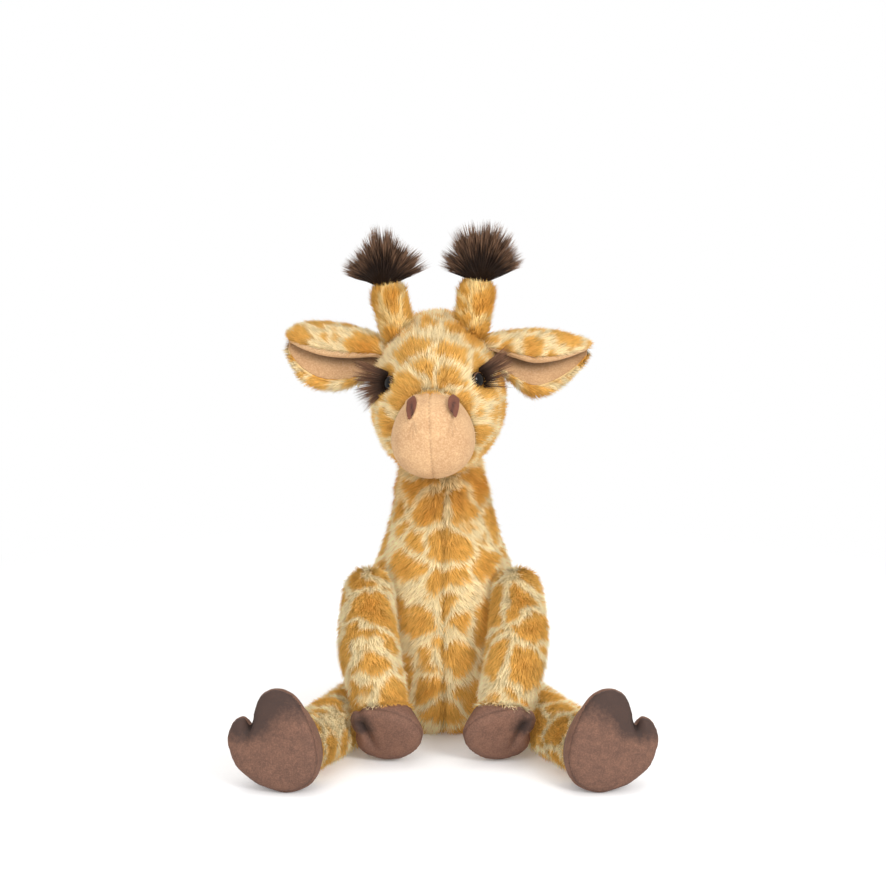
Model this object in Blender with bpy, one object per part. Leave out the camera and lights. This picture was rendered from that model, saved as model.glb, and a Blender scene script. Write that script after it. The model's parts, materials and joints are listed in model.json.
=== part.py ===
"""Seated plush giraffe: sewn skins over stuffing, with a head, limbs, ears and a tail that flop.

Metres, +Z up. The toy faces -Y and its own left is +X. The origin is on the floor, under the seat.
"""

import math

import bmesh
import bpy
from mathutils import Matrix, Vector
from mathutils.bvhtree import BVHTree

for old in list(bpy.data.objects):
    bpy.data.objects.remove(old)

# Cloth, and the clearances between pieces
PILE = 0.0025
VELOUR = 0.0016
GAP = 0.0003
OVERRUN = 0.006

# Torso, from the floor to the ball of the neck
NECK_HEIGHT = 0.150
NECK_RADIUS = 0.0262
BELLY_HALF_WIDTH = 0.0535
BELLY_HALF_DEPTH = 0.0500
BELLY_FORWARD = 0.004
SIDE_SEAM_Y = -0.010
POUCH_HALF_WIDTH = 0.034
POUCH_HALF_DEPTH = 0.030
POUCH_HEIGHT = 0.022
POUCH_SHARES = ((0.0, 0.93), (0.35, 1.0), (0.8, 0.72))
TORSO_SWELL_SHARES = (
    (0.0, 0.35), (0.025, 0.63), (0.09, 0.89), (0.20, 1.0), (0.33, 0.93),
    (0.48, 0.72), (0.63, 0.435), (0.76, 0.17), (0.88, 0.02), (1.0, 0.0),
)

# Head, measured from the ball of the neck
HEAD_TURN = math.radians(-4.0)
HEAD_TILT = math.radians(-3.0)
HEAD_HALF_LENGTH = 0.046
HEAD_HALF_WIDTH = 0.0385
HEAD_HALF_HEIGHT = 0.0450
HEAD_LIFT = 0.0575
FACE_DROP = 0.015
CROWN_NARROW_SHARE = 0.15
GUSSET_HALF_WIDTH = 0.0195
GUSSET_LOW = 0.040
HEAD_SHARES = (
    (0.04, 0.42, 0.42, 0.0), (0.14, 0.70, 0.70, 0.0), (0.30, 0.92, 0.92, 0.03),
    (0.50, 1.0, 1.0, 0.13), (0.70, 0.96, 0.965, 0.33), (0.87, 0.83, 0.85, 0.70),
    (1.0, 0.70, 0.72, 1.0),
)
MUZZLE_LENGTH = 0.0355
MUZZLE_HALF_WIDTH = 0.0250
MUZZLE_HALF_HEIGHT = 0.0268
MUZZLE_LIFT = 0.0370
MUZZLE_SHARES = ((0.0, 0.95), (0.14, 0.985), (0.36, 1.0), (0.62, 0.93), (0.82, 0.75), (0.95, 0.43))
NOSTRIL_ACROSS_SHARE = 0.50
NOSTRIL_UP_SHARE = 0.68
NOSTRIL_HALF_WIDTH = 0.0035
NOSTRIL_HALF_HEIGHT = 0.0058
NOSTRIL_THICKNESS = 0.0012
NOSTRIL_BACK_SHARE = 0.3
NOSTRIL_TAPER_SHARE = 0.32
NOSTRIL_SLANT_SHARE = 0.12

# Eyes and lashes
EYE_RADIUS = 0.0052
EYE_HEIGHT = 0.0038
EYE_SUNK = 0.0020
EYE_WAY_SHARES = (0.63, -0.76, 0.16)
EYE_OUT_SHARES = (0.72, -0.66, 0.18)
EYE_DOME_SHARES = ((1.0, 0.0), (0.92, 0.48), (0.62, 0.85))
SHANK_RADIUS = 0.0014
SHANK_LENGTH = 0.0110
WASHER_RADIUS = 0.0050
WASHER_THICKNESS = 0.0012
WASHER_DEPTH = 0.0062
LASH_THICKNESS = 0.0012
LASH_REACH = 0.0080
LASH_RISE = 0.0055
LASH_SPREAD = math.radians(80.0)
LASH_SHORT_SHARE = 0.45

# Ears
EAR_LENGTH = 0.0585
EAR_HALF_HEIGHT = 0.0178
EAR_ROOT_RADIUS = 0.0085
EAR_CUP = 0.0080
EAR_LINING_THICKNESS = 0.0014
EAR_LINING_MARGIN = 0.0030
EAR_STAND = 0.0043
EAR_FORWARD = 0.0020
EAR_ABOVE_MIDDLE = 0.0155
EAR_RISE_LEFT = math.radians(-6.0)
EAR_RISE_RIGHT = math.radians(10.0)
EAR_WIDEST_SHARE = 0.62
EAR_ROOT_CUP_SHARE = 0.45
EAR_ALONG_SHARES = (-0.94, -0.55, 0.16, 0.36, 0.55, 0.74, 0.88, 0.975)
EAR_ACROSS_SHARES = (-1.0, -0.6, 0.0, 0.6, 1.0)

# Horns
HORN_ACROSS_SHARE = 0.52
HORN_UP_SHARE = 0.53
HORN_FORWARD = 0.0040
HORN_LENGTH = 0.0410
HORN_LEAN = math.radians(11.5)
HORN_BASE_RADIUS = 0.0080
HORN_TOP_RADIUS = 0.0095
TUFT_LENGTH = 0.0370
TUFT_HALF_WIDTH = 0.0235
TUFT_HALF_DEPTH = 0.0150
TUFT_OVERLAP = 0.0055
TUFT_SHARES = (
    (0.0, 0.54, 0.75), (0.22, 0.66, 0.77), (0.44, 0.92, 0.93), (0.62, 1.0, 1.0),
    (0.80, 0.80, 0.84), (0.93, 0.45, 0.52),
)

# Arms: where the shoulder meets the torso, and each stretch of the toy's left arm
SHOULDER_UP_SHARE = 0.577
SHOULDER_OUT_SHARE = 1.09
SHOULDER_FRONT_SHARE = 0.808
SHOULDER_RADIUS = 0.0135
ELBOW_RADIUS = 0.0162
WRIST_RADIUS = 0.0143
TO_ELBOW = Vector((-0.0005, -0.0304, -0.0265))
TO_WRIST = Vector((-0.0085, -0.0240, -0.0305))
TO_HAND = Vector((-0.0010, -0.0110, -0.0115))
HAND_HALF_ACROSS = 0.0205
HAND_HALF_LENGTH = 0.0232
HAND_FACING = Vector((0.10, -0.80, -0.30))
HAND_UP = Vector((0.80, 0.0, 0.60))

# Legs: where the hip meets the torso, and each stretch of the toy's left leg along the floor
HIP_OUT_SHARE = 1.013
HIP_FRONT_SHARE = 0.816
HIP_RADIUS = 0.0160
KNEE_RADIUS = 0.0157
ANKLE_RADIUS = 0.0150
LEG_PRESS = 0.0005
ANKLE_RISE = 0.0025
TO_KNEE = Vector((0.0165, -0.0415, 0.0))
TO_ANKLE = Vector((0.0150, -0.0390, 0.0))
TO_FOOT = Vector((0.0114, -0.0250, 0.0))
FOOT_HALF_ACROSS = 0.0282
FOOT_HALF_LENGTH = 0.0282
FOOT_PRESS = 0.0010
FOOT_FACING = Vector((0.17, -0.97, 0.17))
FOOT_UP = Vector((0.0, 0.0, 1.0))

# A cloven hoof seen on its sole: big lobe up, small lobe outward, as (inward, up) shares
HOOF_OUTLINE_SHARES = (
    (0.02, 1.0), (0.36, 0.86), (0.60, 0.54), (0.80, 0.14), (0.91, -0.30), (0.78, -0.80),
    (0.24, -0.98), (-0.32, -0.83), (-0.73, -0.50), (-0.91, 0.02), (-0.82, 0.34), (-0.56, 0.47),
    (-0.40, 0.40), (-0.42, 0.66), (-0.25, 0.90),
)
HOOF_SPREAD_SHARES = (0.0, 0.42, 0.76, 0.95, 1.0)
HOOF_BOW_SHARE = 0.10
PAD_TAPER_SHARE = 0.8
SOLE_DOME = 0.0034
SOLE_DOME_SHARES = ((0.0, 0.97), (0.40, 1.0), (0.78, 0.80), (0.96, 0.42))

# Tail
TAIL_UP_SHARE = 0.333
TAIL_RADIUS = 0.0052
TAIL_STAND = 0.0006
TO_TAIL_MIDDLE = Vector((0.0, 0.0093, -0.0120))
TO_TAIL_END = Vector((0.0, 0.0025, -0.0110))
TAIL_TUFT_RADIUS = 0.0085
TAIL_TUFT_LENGTH = 0.0220
TAIL_TUFT_SHARES = ((0.0, 0.55), (0.3, 0.9), (0.55, 1.0), (0.8, 0.7))

# Facets
BODY_SIDES = 18
LIMB_SIDES = 14
SMALL_SIDES = 12
SOCKET_SIDES = 22
CAP_STEPS = 4
PATH_STEPS = 3

LEFTWARD = Vector((1.0, 0.0, 0.0))
BACKWARD = Vector((0.0, 1.0, 0.0))
UP = Vector((0.0, 0.0, 1.0))


def material(name, colour, roughness):
    """A plain finish with its colour and roughness."""
    finish = bpy.data.materials.new(name)
    finish.use_nodes = True
    shader = finish.node_tree.nodes["Principled BSDF"]
    shader.inputs["Base Color"].default_value = (*colour, 1.0)
    shader.inputs["Roughness"].default_value = roughness
    shader.inputs["Metallic"].default_value = 0.0
    return finish


PATCHED_PILE = material("patched_pile", (0.56, 0.30, 0.085), 0.95)
DARK_PILE = material("dark_pile", (0.050, 0.026, 0.017), 0.9)
PEACH_VELOUR = material("peach_velour", (0.76, 0.42, 0.24), 0.9)
BROWN_VELOUR = material("brown_velour", (0.20, 0.060, 0.040), 0.9)
MAUVE_VELOUR = material("mauve_velour", (0.19, 0.098, 0.082), 0.9)
WHITE_FILL = material("polyester_fill", (0.82, 0.82, 0.80), 1.0)
POUCH_CLOTH = material("pouch_cloth", (0.70, 0.68, 0.62), 0.9)
BLACK_PLASTIC = material("black_plastic", (0.012, 0.009, 0.008), 0.12)
WASHER_PLASTIC = material("washer_plastic", (0.75, 0.75, 0.74), 0.6)


def pivot(name, place):
    """An empty that carries the pieces which move together."""
    empty = bpy.data.objects.new(name, None)
    empty.location = place
    bpy.context.scene.collection.objects.link(empty)
    bpy.context.view_layer.update()
    return empty


def piece(name, form, finish, carrier=None):
    """An object from a closed form whose points are in its carrier's own space."""
    mesh = bpy.data.meshes.new(name)
    form.to_mesh(mesh)
    form.free()
    mesh.shade_smooth()
    mesh.set_sharp_from_angle(angle=math.radians(50.0))
    if finish is not None:
        mesh.materials.append(finish)
    made = bpy.data.objects.new(name, mesh)
    made.parent = carrier
    bpy.context.scene.collection.objects.link(made)
    return made


def cutter(name, form, carrier=None):
    """A guide solid for a Boolean, which isn't part of the toy."""
    made = piece(name, form, None, carrier)
    made.hide_render = True
    made.display_type = "WIRE"
    return made


def combine(target, tool, operation="DIFFERENCE"):
    """One live Boolean on the target."""
    change = target.modifiers.new(f"{operation.lower()} {tool.name}", "BOOLEAN")
    change.operation = operation
    change.solver = "EXACT"
    change.object = tool


def ring(centre, across, up, half_across, half_up, narrow_share=0.0, sides=LIMB_SIDES):
    """Points round an ellipse that may narrow towards its top, two of them level at its foot."""
    points = []
    for step in range(sides):
        turn = 2.0 * math.pi * (step + 0.5) / sides - 0.5 * math.pi
        wide = half_across * math.cos(turn) * (1.0 - narrow_share * math.sin(turn))
        points.append(centre + across * wide + up * (half_up * math.sin(turn)))
    return points


def bridge(form, first, second):
    """Quads between two loops of points."""
    count = len(first)
    for i in range(count):
        j = (i + 1) % count
        form.faces.new((first[i], first[j], second[j], second[i]))


def close(form, loop, tip):
    """A fan to a tip, or one flat face."""
    if tip is None:
        form.faces.new(loop)
        return
    point = form.verts.new(tip)
    for i in range(len(loop)):
        form.faces.new((loop[i], loop[(i + 1) % len(loop)], point))


def skinned(form, rings):
    """Loops of points joined in turn."""
    loops = [[form.verts.new(point) for point in points] for points in rings]
    for first, second in zip(loops, loops[1:], strict=False):
        bridge(form, first, second)
    return loops


def solid(rings, first_tip=None, last_tip=None):
    """A closed form through the rings."""
    form = bmesh.new()
    loops = skinned(form, rings)
    close(form, loops[0], first_tip)
    close(form, loops[-1], last_tip)
    bmesh.ops.recalc_face_normals(form, faces=form.faces)
    return form


def shell(outer, inner, outer_tip=None, inner_tip=None):
    """A wall between two sets of rings: a cup if it has tips, else a tube."""
    form = bmesh.new()
    outside = skinned(form, outer)
    inside = skinned(form, inner)
    bridge(form, outside[-1], inside[-1])
    if outer_tip is None:
        bridge(form, outside[0], inside[0])
    else:
        close(form, outside[0], outer_tip)
        close(form, inside[0], inner_tip)
    bmesh.ops.recalc_face_normals(form, faces=form.faces)
    return form


def socket(centre, radius):
    """A faceted sphere whose flats, not its corners, lie at the radius."""
    flats = math.cos(math.pi / SOCKET_SIDES) ** 2
    form = bmesh.new()
    bmesh.ops.create_uvsphere(
        form, u_segments=SOCKET_SIDES, v_segments=SOCKET_SIDES, radius=radius / flats,
        matrix=Matrix.Translation(centre),
    )
    return form


def block(low, high):
    """A box between two corners."""
    form = bmesh.new()
    middle = (low + high) / 2.0
    size = high - low
    place = Matrix.Translation(middle) @ Matrix.Diagonal((*size, 1.0))
    bmesh.ops.create_cube(form, size=1.0, matrix=place)
    return form


def smoothed(points, steps=PATH_STEPS):
    """A curve through points of any number of values, with some steps to each stretch."""
    curve = []
    last = len(points) - 1
    for i in range(last):
        before = points[max(i - 1, 0)]
        after = points[min(i + 2, last)]
        for step in range(steps):
            t = step / steps
            a = points[i] - before if i else points[i + 1] - points[i]
            b = after - points[i + 1] if i + 2 <= last else points[i + 1] - points[i]
            slope_in = (points[i + 1] - points[i] + a) / 2.0
            slope_out = (points[i + 1] - points[i] + b) / 2.0
            curve.append(
                points[i] * (2 * t**3 - 3 * t**2 + 1)
                + slope_in * (t**3 - 2 * t**2 + t)
                + points[i + 1] * (3 * t**2 - 2 * t**3)
                + slope_out * (t**3 - t**2)
            )
    curve.append(points[last].copy())
    return curve


def frame_along(path, index):
    """The direction of a path at a point, with the two directions across it."""
    ahead = path[min(index + 1, len(path) - 1)] - path[max(index - 1, 0)]
    ahead.normalize()
    across = ahead.cross(UP)
    across.normalize()
    return ahead, across, across.cross(ahead)


def limb_rings(stations, inset=0.0):
    """Rings of a stuffed limb from its round end, the tip of that end and the way it ends."""
    curve = smoothed([Vector((*place, radius)) for place, radius in stations])
    path = [Vector(point[:3]) for point in curve]
    ahead, across, up = frame_along(path, 0)
    start = curve[0][3] - inset
    rings = []
    for step in range(1, CAP_STEPS):
        lift = 0.5 * math.pi * (1.0 - step / CAP_STEPS)
        centre = path[0] - ahead * (start * math.sin(lift))
        rings.append(ring(centre, across, up, start * math.cos(lift), start * math.cos(lift)))
    for index, point in enumerate(curve):
        _, across_here, up_here = frame_along(path, index)
        radius = point[3] - inset
        rings.append(ring(path[index], across_here, up_here, radius, radius))
    return rings, path[0] - ahead * start, frame_along(path, len(path) - 1)[0]


def on_floor(rings, height=0.0):
    """Rings pressed flat where they reach below a height."""
    return [[Vector((p.x, p.y, max(p.z, height))) for p in points] for points in rings]


def in_carrier(rings, carrier):
    """Rings moved into the space of the empty that carries them."""
    return [[point - carrier.location for point in points] for points in rings]


def mirrored(place, side):
    """A place of the toy's left side, or its mirror image for the right."""
    return Vector((place.x * side, place.y, place.z))


# Carriers of what moves
NECK = UP * NECK_HEIGHT
SIDES = (("left", 1.0), ("right", -1.0))
head_pivot = pivot("head_pivot", NECK)
head_pivot.rotation_euler = (0.0, HEAD_TILT, HEAD_TURN)


def girth(swell):
    """Middle, half width and half depth of the torso where it swells by a share."""
    wide = NECK_RADIUS + swell * (BELLY_HALF_WIDTH - NECK_RADIUS)
    deep = NECK_RADIUS + swell * (BELLY_HALF_DEPTH - NECK_RADIUS)
    return -BELLY_FORWARD * swell, wide, deep


def swell_at(up_share):
    """How much the torso swells at a share of its height."""
    for first, second in zip(TORSO_SWELL_SHARES, TORSO_SWELL_SHARES[1:], strict=False):
        if up_share <= second[0]:
            along = (up_share - first[0]) / (second[0] - first[0])
            return first[1] + (second[1] - first[1]) * along
    return TORSO_SWELL_SHARES[-1][1]


def beside_torso(up_share, out_share, front_share):
    """A place by the torso's left front, in shares of its height and girth."""
    middle, wide, deep = girth(swell_at(up_share))
    return Vector((wide * out_share, middle - deep * front_share, up_share * NECK_HEIGHT))


# Joints of the toy's left arm and leg, and of the tail
HIP_HEIGHT = HIP_RADIUS - LEG_PRESS
SHOULDER = beside_torso(SHOULDER_UP_SHARE, SHOULDER_OUT_SHARE, SHOULDER_FRONT_SHARE)
HIP = beside_torso(HIP_HEIGHT / NECK_HEIGHT, HIP_OUT_SHARE, HIP_FRONT_SHARE)
TAIL_ROOT = beside_torso(TAIL_UP_SHARE, 0.0, -math.cos(math.pi / BODY_SIDES))
TAIL_ROOT += BACKWARD * (TAIL_RADIUS + TAIL_STAND)


def torso_rings(inset, floor):
    """Rings of the pear-shaped body and the dome of its neck, drawn in by an inset."""
    rings = []
    for up_share, swell in TORSO_SWELL_SHARES:
        height = floor + up_share * (NECK_HEIGHT - floor)
        middle, wide, deep = girth(swell)
        centre = Vector((0.0, middle, height))
        rings.append(ring(centre, LEFTWARD, BACKWARD, wide - inset, deep - inset, 0.0, BODY_SIDES))
    dome = NECK_RADIUS - inset
    for step in range(1, CAP_STEPS + 1):
        lift = 0.5 * math.pi * step / (CAP_STEPS + 1)
        centre = NECK + UP * (dome * math.sin(lift))
        rim = dome * math.cos(lift)
        rings.append(ring(centre, LEFTWARD, BACKWARD, rim, rim, 0.0, BODY_SIDES))
    return rings, NECK + UP * dome


def torso_form(inset=0.0, floor=0.0):
    """The torso as one closed form."""
    rings, tip = torso_rings(inset, floor)
    return solid(rings, None, tip)


def socket_balls(extra, label):
    """Balls round each shoulder and hip, larger than the limb's round end by a clearance."""
    balls = []
    for side_name, side in SIDES:
        for limb, place, radius in (
            ("shoulder", SHOULDER, SHOULDER_RADIUS),
            ("hip", HIP, HIP_RADIUS),
        ):
            form = socket(mirrored(place, side), radius + GAP + extra)
            balls.append(cutter(f"{label}_{limb}_{side_name}", form))
    return balls


def torso():
    """Front panels, back panel, stuffing and the bead pouch in the seat."""
    dents = socket_balls(0.0, "dent")
    inner_dents = socket_balls(PILE, "inner_dent")
    fill_dents = socket_balls(PILE + GAP, "fill_dent")
    cavity = cutter("torso_cavity", torso_form(PILE, PILE))
    for dent in inner_dents:
        combine(cavity, dent)
    reach = BELLY_HALF_WIDTH + BELLY_HALF_DEPTH
    top = NECK_HEIGHT + NECK_RADIUS + OVERRUN
    seam = GAP / 2.0
    front = SIDE_SEAM_Y - seam
    panels = (
        ("torso_front_left", (seam, -reach), (reach, front)),
        ("torso_front_right", (-reach, -reach), (-seam, front)),
        ("torso_back", (-reach, SIDE_SEAM_Y + seam), (reach, reach)),
    )
    for name, near, far in panels:
        low = Vector((*near, -OVERRUN))
        high = Vector((*far, top))
        panel = piece(name, torso_form(), PATCHED_PILE)
        combine(panel, cavity)
        combine(panel, cutter(f"{name}_bounds", block(low, high)), "INTERSECT")
        for dent in dents:
            side = -1.0 if dent.name.endswith("right") else 1.0
            if name != "torso_back" and side * (low.x + high.x) > 0.0:
                combine(panel, dent)
    inset = PILE + GAP
    fill = piece("torso_stuffing", torso_form(inset, inset), WHITE_FILL)
    for dent in fill_dents:
        combine(fill, dent)
    combine(fill, cutter("pouch_room", pouch_form(GAP)))
    piece("bead_pouch", pouch_form(0.0), POUCH_CLOTH)


def pouch_form(grown):
    """The bead pouch: a low domed bag that lies on the seat."""
    floor = PILE + GAP
    rings = []
    centre = Vector((0.0, -BELLY_FORWARD, 0.0))
    for up_share, share in POUCH_SHARES:
        wide = POUCH_HALF_WIDTH * share + grown
        deep = POUCH_HALF_DEPTH * share + grown
        at = centre + UP * (floor + POUCH_HEIGHT * up_share)
        rings.append(ring(at, LEFTWARD, BACKWARD, wide, deep, 0.0, LIMB_SIDES))
    if grown:
        rings.insert(0, [point - UP * OVERRUN for point in rings[0]])
    return solid(rings, None, centre + UP * (floor + POUCH_HEIGHT + grown))


def head_form(inset=0.0, past=0.0):
    """The head from the back of the skull to the edge of the face, drawn in by an inset."""
    rings = []
    for along, wide_share, high_share, drop in HEAD_SHARES:
        y = HEAD_HALF_LENGTH * (1.0 - 2.0 * along)
        wide = HEAD_HALF_WIDTH * wide_share - inset
        high = HEAD_HALF_HEIGHT * high_share - inset
        centre = Vector((0.0, y, HEAD_LIFT - FACE_DROP * drop))
        rings.append(ring(centre, LEFTWARD, UP, wide, high, CROWN_NARROW_SHARE, BODY_SIDES))
    if past:
        rings.append([point - Vector((0.0, past, 0.0)) for point in rings[-1]])
    return solid(rings, Vector((0.0, HEAD_HALF_LENGTH - inset, HEAD_LIFT)), None)


def muzzle_rings(inset):
    """Rings of the muzzle from the face edge forward, and its tip."""
    rings = []
    root = -HEAD_HALF_LENGTH - GAP
    length = MUZZLE_LENGTH - inset
    for along, share in MUZZLE_SHARES:
        wide = MUZZLE_HALF_WIDTH * share - inset
        high = MUZZLE_HALF_HEIGHT * share - inset
        centre = Vector((0.0, root - length * along, MUZZLE_LIFT))
        rings.append(ring(centre, LEFTWARD, UP, wide, high, CROWN_NARROW_SHARE, BODY_SIDES))
    return rings, Vector((0.0, root - length, MUZZLE_LIFT))


def muzzle_form(inset):
    """The muzzle as one closed form."""
    rings, tip = muzzle_rings(inset)
    return solid(rings, None, tip)


def eye_axes(side):
    """Place of an eye just under the skin of the head, and the turn that points +Z out of it."""
    skin = head_form()
    way = mirrored(Vector(EYE_WAY_SHARES), side).normalized()
    hit = BVHTree.FromBMesh(skin).ray_cast(UP * HEAD_LIFT, way)[0]
    skin.free()
    out = mirrored(Vector(EYE_OUT_SHARES), side).normalized()
    return hit - out * EYE_SUNK, out.to_track_quat("Z", "Y").to_matrix().to_4x4()


def turned(profile, sides=SMALL_SIDES):
    """A round solid from (radius, height) stations between two tips on its axis."""
    rings = []
    for radius, height in profile[1:-1]:
        rings.append(ring(UP * height, LEFTWARD, BACKWARD, radius, radius, 0.0, sides))
    return solid(rings, UP * profile[0][1], UP * profile[-1][1])


def eye_profile():
    """Shank, flat back and dome of an eye, from the inner end out."""
    shank = ((0.0, -SHANK_LENGTH), (SHANK_RADIUS, -SHANK_LENGTH), (SHANK_RADIUS, 0.0))
    dome = tuple((EYE_RADIUS * wide, EYE_HEIGHT * up) for wide, up in EYE_DOME_SHARES)
    return (*shank, *dome, (0.0, EYE_HEIGHT))


def room_profile(radius, low, high):
    """A plain round room between two heights."""
    return ((0.0, low), (radius, low), (radius, high), (0.0, high))


def head():
    """Gusset, side panels, muzzle halves, stuffing, eyes, washers, lashes and nostrils."""
    neck_dent = cutter("neck_dent", socket(Vector(), NECK_RADIUS + GAP), head_pivot)
    neck_inner = cutter("neck_inner", socket(Vector(), NECK_RADIUS + GAP + PILE), head_pivot)
    neck_fill = cutter("neck_fill", socket(Vector(), NECK_RADIUS + PILE + 2.0 * GAP), head_pivot)
    cavity = cutter("head_cavity", head_form(PILE, OVERRUN), head_pivot)
    combine(cavity, neck_inner)
    reach = HEAD_HALF_LENGTH + HEAD_HALF_WIDTH
    tall = HEAD_LIFT + HEAD_HALF_HEIGHT + OVERRUN
    strip_low = Vector((-GUSSET_HALF_WIDTH, -reach, GUSSET_LOW))
    strip_high = Vector((GUSSET_HALF_WIDTH, reach, tall))
    gap = Vector((GAP, GAP, GAP))
    strip = cutter("gusset_bounds", block(strip_low, strip_high), head_pivot)
    strip_room = cutter("gusset_room", block(strip_low - gap, strip_high + gap), head_pivot)

    gusset = piece("head_gusset", head_form(), PATCHED_PILE, head_pivot)
    combine(gusset, cavity)
    combine(gusset, strip, "INTERSECT")

    fill = piece("head_stuffing", head_form(PILE + GAP), WHITE_FILL, head_pivot)
    nose = cutter("muzzle_fill", muzzle_fill_form(), head_pivot)
    combine(fill, nose, "UNION")
    combine(fill, neck_fill)

    for side_name, side in SIDES:
        low = Vector((min(side * GAP / 2.0, side * reach), -reach, -reach))
        high = Vector((max(side * GAP / 2.0, side * reach), reach, tall))
        half = cutter(f"half_bounds_{side_name}", block(low, high), head_pivot)
        panel = piece(f"head_side_{side_name}", head_form(), PATCHED_PILE, head_pivot)
        combine(panel, cavity)
        combine(panel, half, "INTERSECT")
        combine(panel, strip_room)
        combine(panel, neck_dent)

        rings, tip = muzzle_rings(0.0)
        inner_rings, inner_tip = muzzle_rings(VELOUR)
        form = bmesh.new()
        outside = skinned(form, rings)
        inside = skinned(form, inner_rings)
        bridge(form, outside[0], inside[0])
        close(form, outside[-1], tip)
        close(form, inside[-1], inner_tip)
        bmesh.ops.recalc_face_normals(form, faces=form.faces)
        cloth = piece(f"muzzle_{side_name}", form, PEACH_VELOUR, head_pivot)
        combine(cloth, half, "INTERSECT")

        eye(side_name, side, panel, fill)
        nostril(side_name, side)


def muzzle_fill_form():
    """The stuffing of the muzzle, long enough to run into that of the head."""
    rings, tip = muzzle_rings(VELOUR + GAP)
    back = Vector((0.0, PILE + OVERRUN, 0.0))
    return solid([[point + back for point in rings[0]], *rings], None, tip)


def eye(side_name, side, panel, fill):
    """An eye on its shank through the skin, with its washer and its strip of lashes."""
    place, facing = eye_axes(side)

    def set_in(form):
        bmesh.ops.transform(form, matrix=Matrix.Translation(place) @ facing, verts=form.verts)
        return form

    piece(f"eye_{side_name}", set_in(turned(eye_profile())), BLACK_PLASTIC, head_pivot)
    hole = turned(room_profile(SHANK_RADIUS + GAP, -SHANK_LENGTH - GAP, EYE_HEIGHT))
    seat = turned(room_profile(EYE_RADIUS + GAP, -GAP, EYE_HEIGHT + OVERRUN))
    room_bottom = -SHANK_LENGTH - GAP
    room = turned(room_profile(WASHER_RADIUS + GAP, room_bottom, OVERRUN))
    combine(panel, cutter(f"shank_hole_{side_name}", set_in(hole), head_pivot))
    combine(panel, cutter(f"eye_seat_{side_name}", set_in(seat), head_pivot))
    combine(fill, cutter(f"washer_room_{side_name}", set_in(room), head_pivot))

    top = -WASHER_DEPTH
    ends = (UP * (top - WASHER_THICKNESS), UP * top)
    flat, hollow = (
        [ring(at, LEFTWARD, BACKWARD, radius, radius, 0.0, SMALL_SIDES) for at in ends]
        for radius in (WASHER_RADIUS, SHANK_RADIUS + GAP)
    )
    piece(f"eye_washer_{side_name}", set_in(shell(flat, hollow)), WASHER_PLASTIC, head_pivot)

    inner = EYE_RADIUS + 2.0 * GAP
    rings = []
    for step in range(SMALL_SIDES + 1):
        lean = LASH_SPREAD * (2.0 * step / SMALL_SIDES - 1.0)
        turn = lean if side > 0.0 else math.pi - lean
        away = Vector((math.cos(turn), math.sin(turn), 0.0))
        long_share = LASH_SHORT_SHARE + (1.0 - LASH_SHORT_SHARE) * math.cos(lean) ** 2
        root = away * inner
        end = away * (inner + LASH_REACH * long_share) + UP * LASH_RISE
        rings.append([root, root + UP * LASH_THICKNESS, end + UP * LASH_THICKNESS, end])
    lash = piece(f"eyelash_{side_name}", set_in(solid(rings)), DARK_PILE, head_pivot)
    combine(lash, cutter(f"lash_bed_{side_name}", head_form(-GAP), head_pivot))


def nostril(side_name, side):
    """A teardrop of velour that follows the muzzle's surface."""
    outline = []
    for step in range(SMALL_SIDES):
        turn = 2.0 * math.pi * step / SMALL_SIDES
        up = NOSTRIL_HALF_HEIGHT * math.cos(turn)
        taper = 1.0 - NOSTRIL_TAPER_SHARE * (1.0 - math.cos(turn))
        wide = NOSTRIL_HALF_WIDTH * math.sin(turn) * taper
        outline.append((side * (wide - up * NOSTRIL_SLANT_SHARE), up))
    across = side * MUZZLE_HALF_WIDTH * NOSTRIL_ACROSS_SHARE
    height = MUZZLE_LIFT + MUZZLE_HALF_HEIGHT * NOSTRIL_UP_SHARE
    front = -HEAD_HALF_LENGTH - MUZZLE_LENGTH - OVERRUN
    back = -HEAD_HALF_LENGTH - MUZZLE_LENGTH * NOSTRIL_BACK_SHARE
    rings = [[Vector((across + x, y, height + z)) for x, z in outline] for y in (front, back)]
    drop = piece(f"nostril_{side_name}", solid(rings), BROWN_VELOUR, head_pivot)
    top = cutter(f"nostril_top_{side_name}", muzzle_form(-GAP - NOSTRIL_THICKNESS), head_pivot)
    combine(drop, top, "INTERSECT")
    combine(drop, cutter(f"nostril_bed_{side_name}", muzzle_form(-GAP), head_pivot))


def ear_outline(along, margin):
    """Half the height of an ear at a distance from its hinge."""
    root = EAR_ROOT_RADIUS - margin
    if along <= 0.0:
        return math.sqrt(root**2 - along**2)
    share = along / (EAR_LENGTH - EAR_ROOT_RADIUS - margin)
    swell = math.sin(0.5 * math.pi * min(share / EAR_WIDEST_SHARE, 1.0))
    past = max(share - EAR_WIDEST_SHARE, 0.0) / (1.0 - EAR_WIDEST_SHARE)
    close_in = math.sqrt(1.0 - past**2)
    return (root + (EAR_HALF_HEIGHT - EAR_ROOT_RADIUS) * swell) * close_in


def ear_sheet(thickness, lift, margin):
    """A cupped leaf of cloth: rings round each station from its root to its tip."""
    rings = []
    reach = EAR_LENGTH - EAR_ROOT_RADIUS - margin
    for share in EAR_ALONG_SHARES:
        along = share * (EAR_ROOT_RADIUS - margin) if share < 0.0 else share * reach
        half = ear_outline(along, margin)
        cup = EAR_CUP * min(1.0, EAR_ROOT_CUP_SHARE + max(along, 0.0) / EAR_LENGTH)
        front = []
        back = []
        for across in EAR_ACROSS_SHARES:
            deep = cup * (half / EAR_HALF_HEIGHT) * (1.0 - across**2)
            front.append(Vector((along, deep - lift, across * half)))
            back.append(Vector((along, deep - lift + thickness, across * half)))
        rings.append(front + back[::-1])
    return solid(rings)


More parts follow.
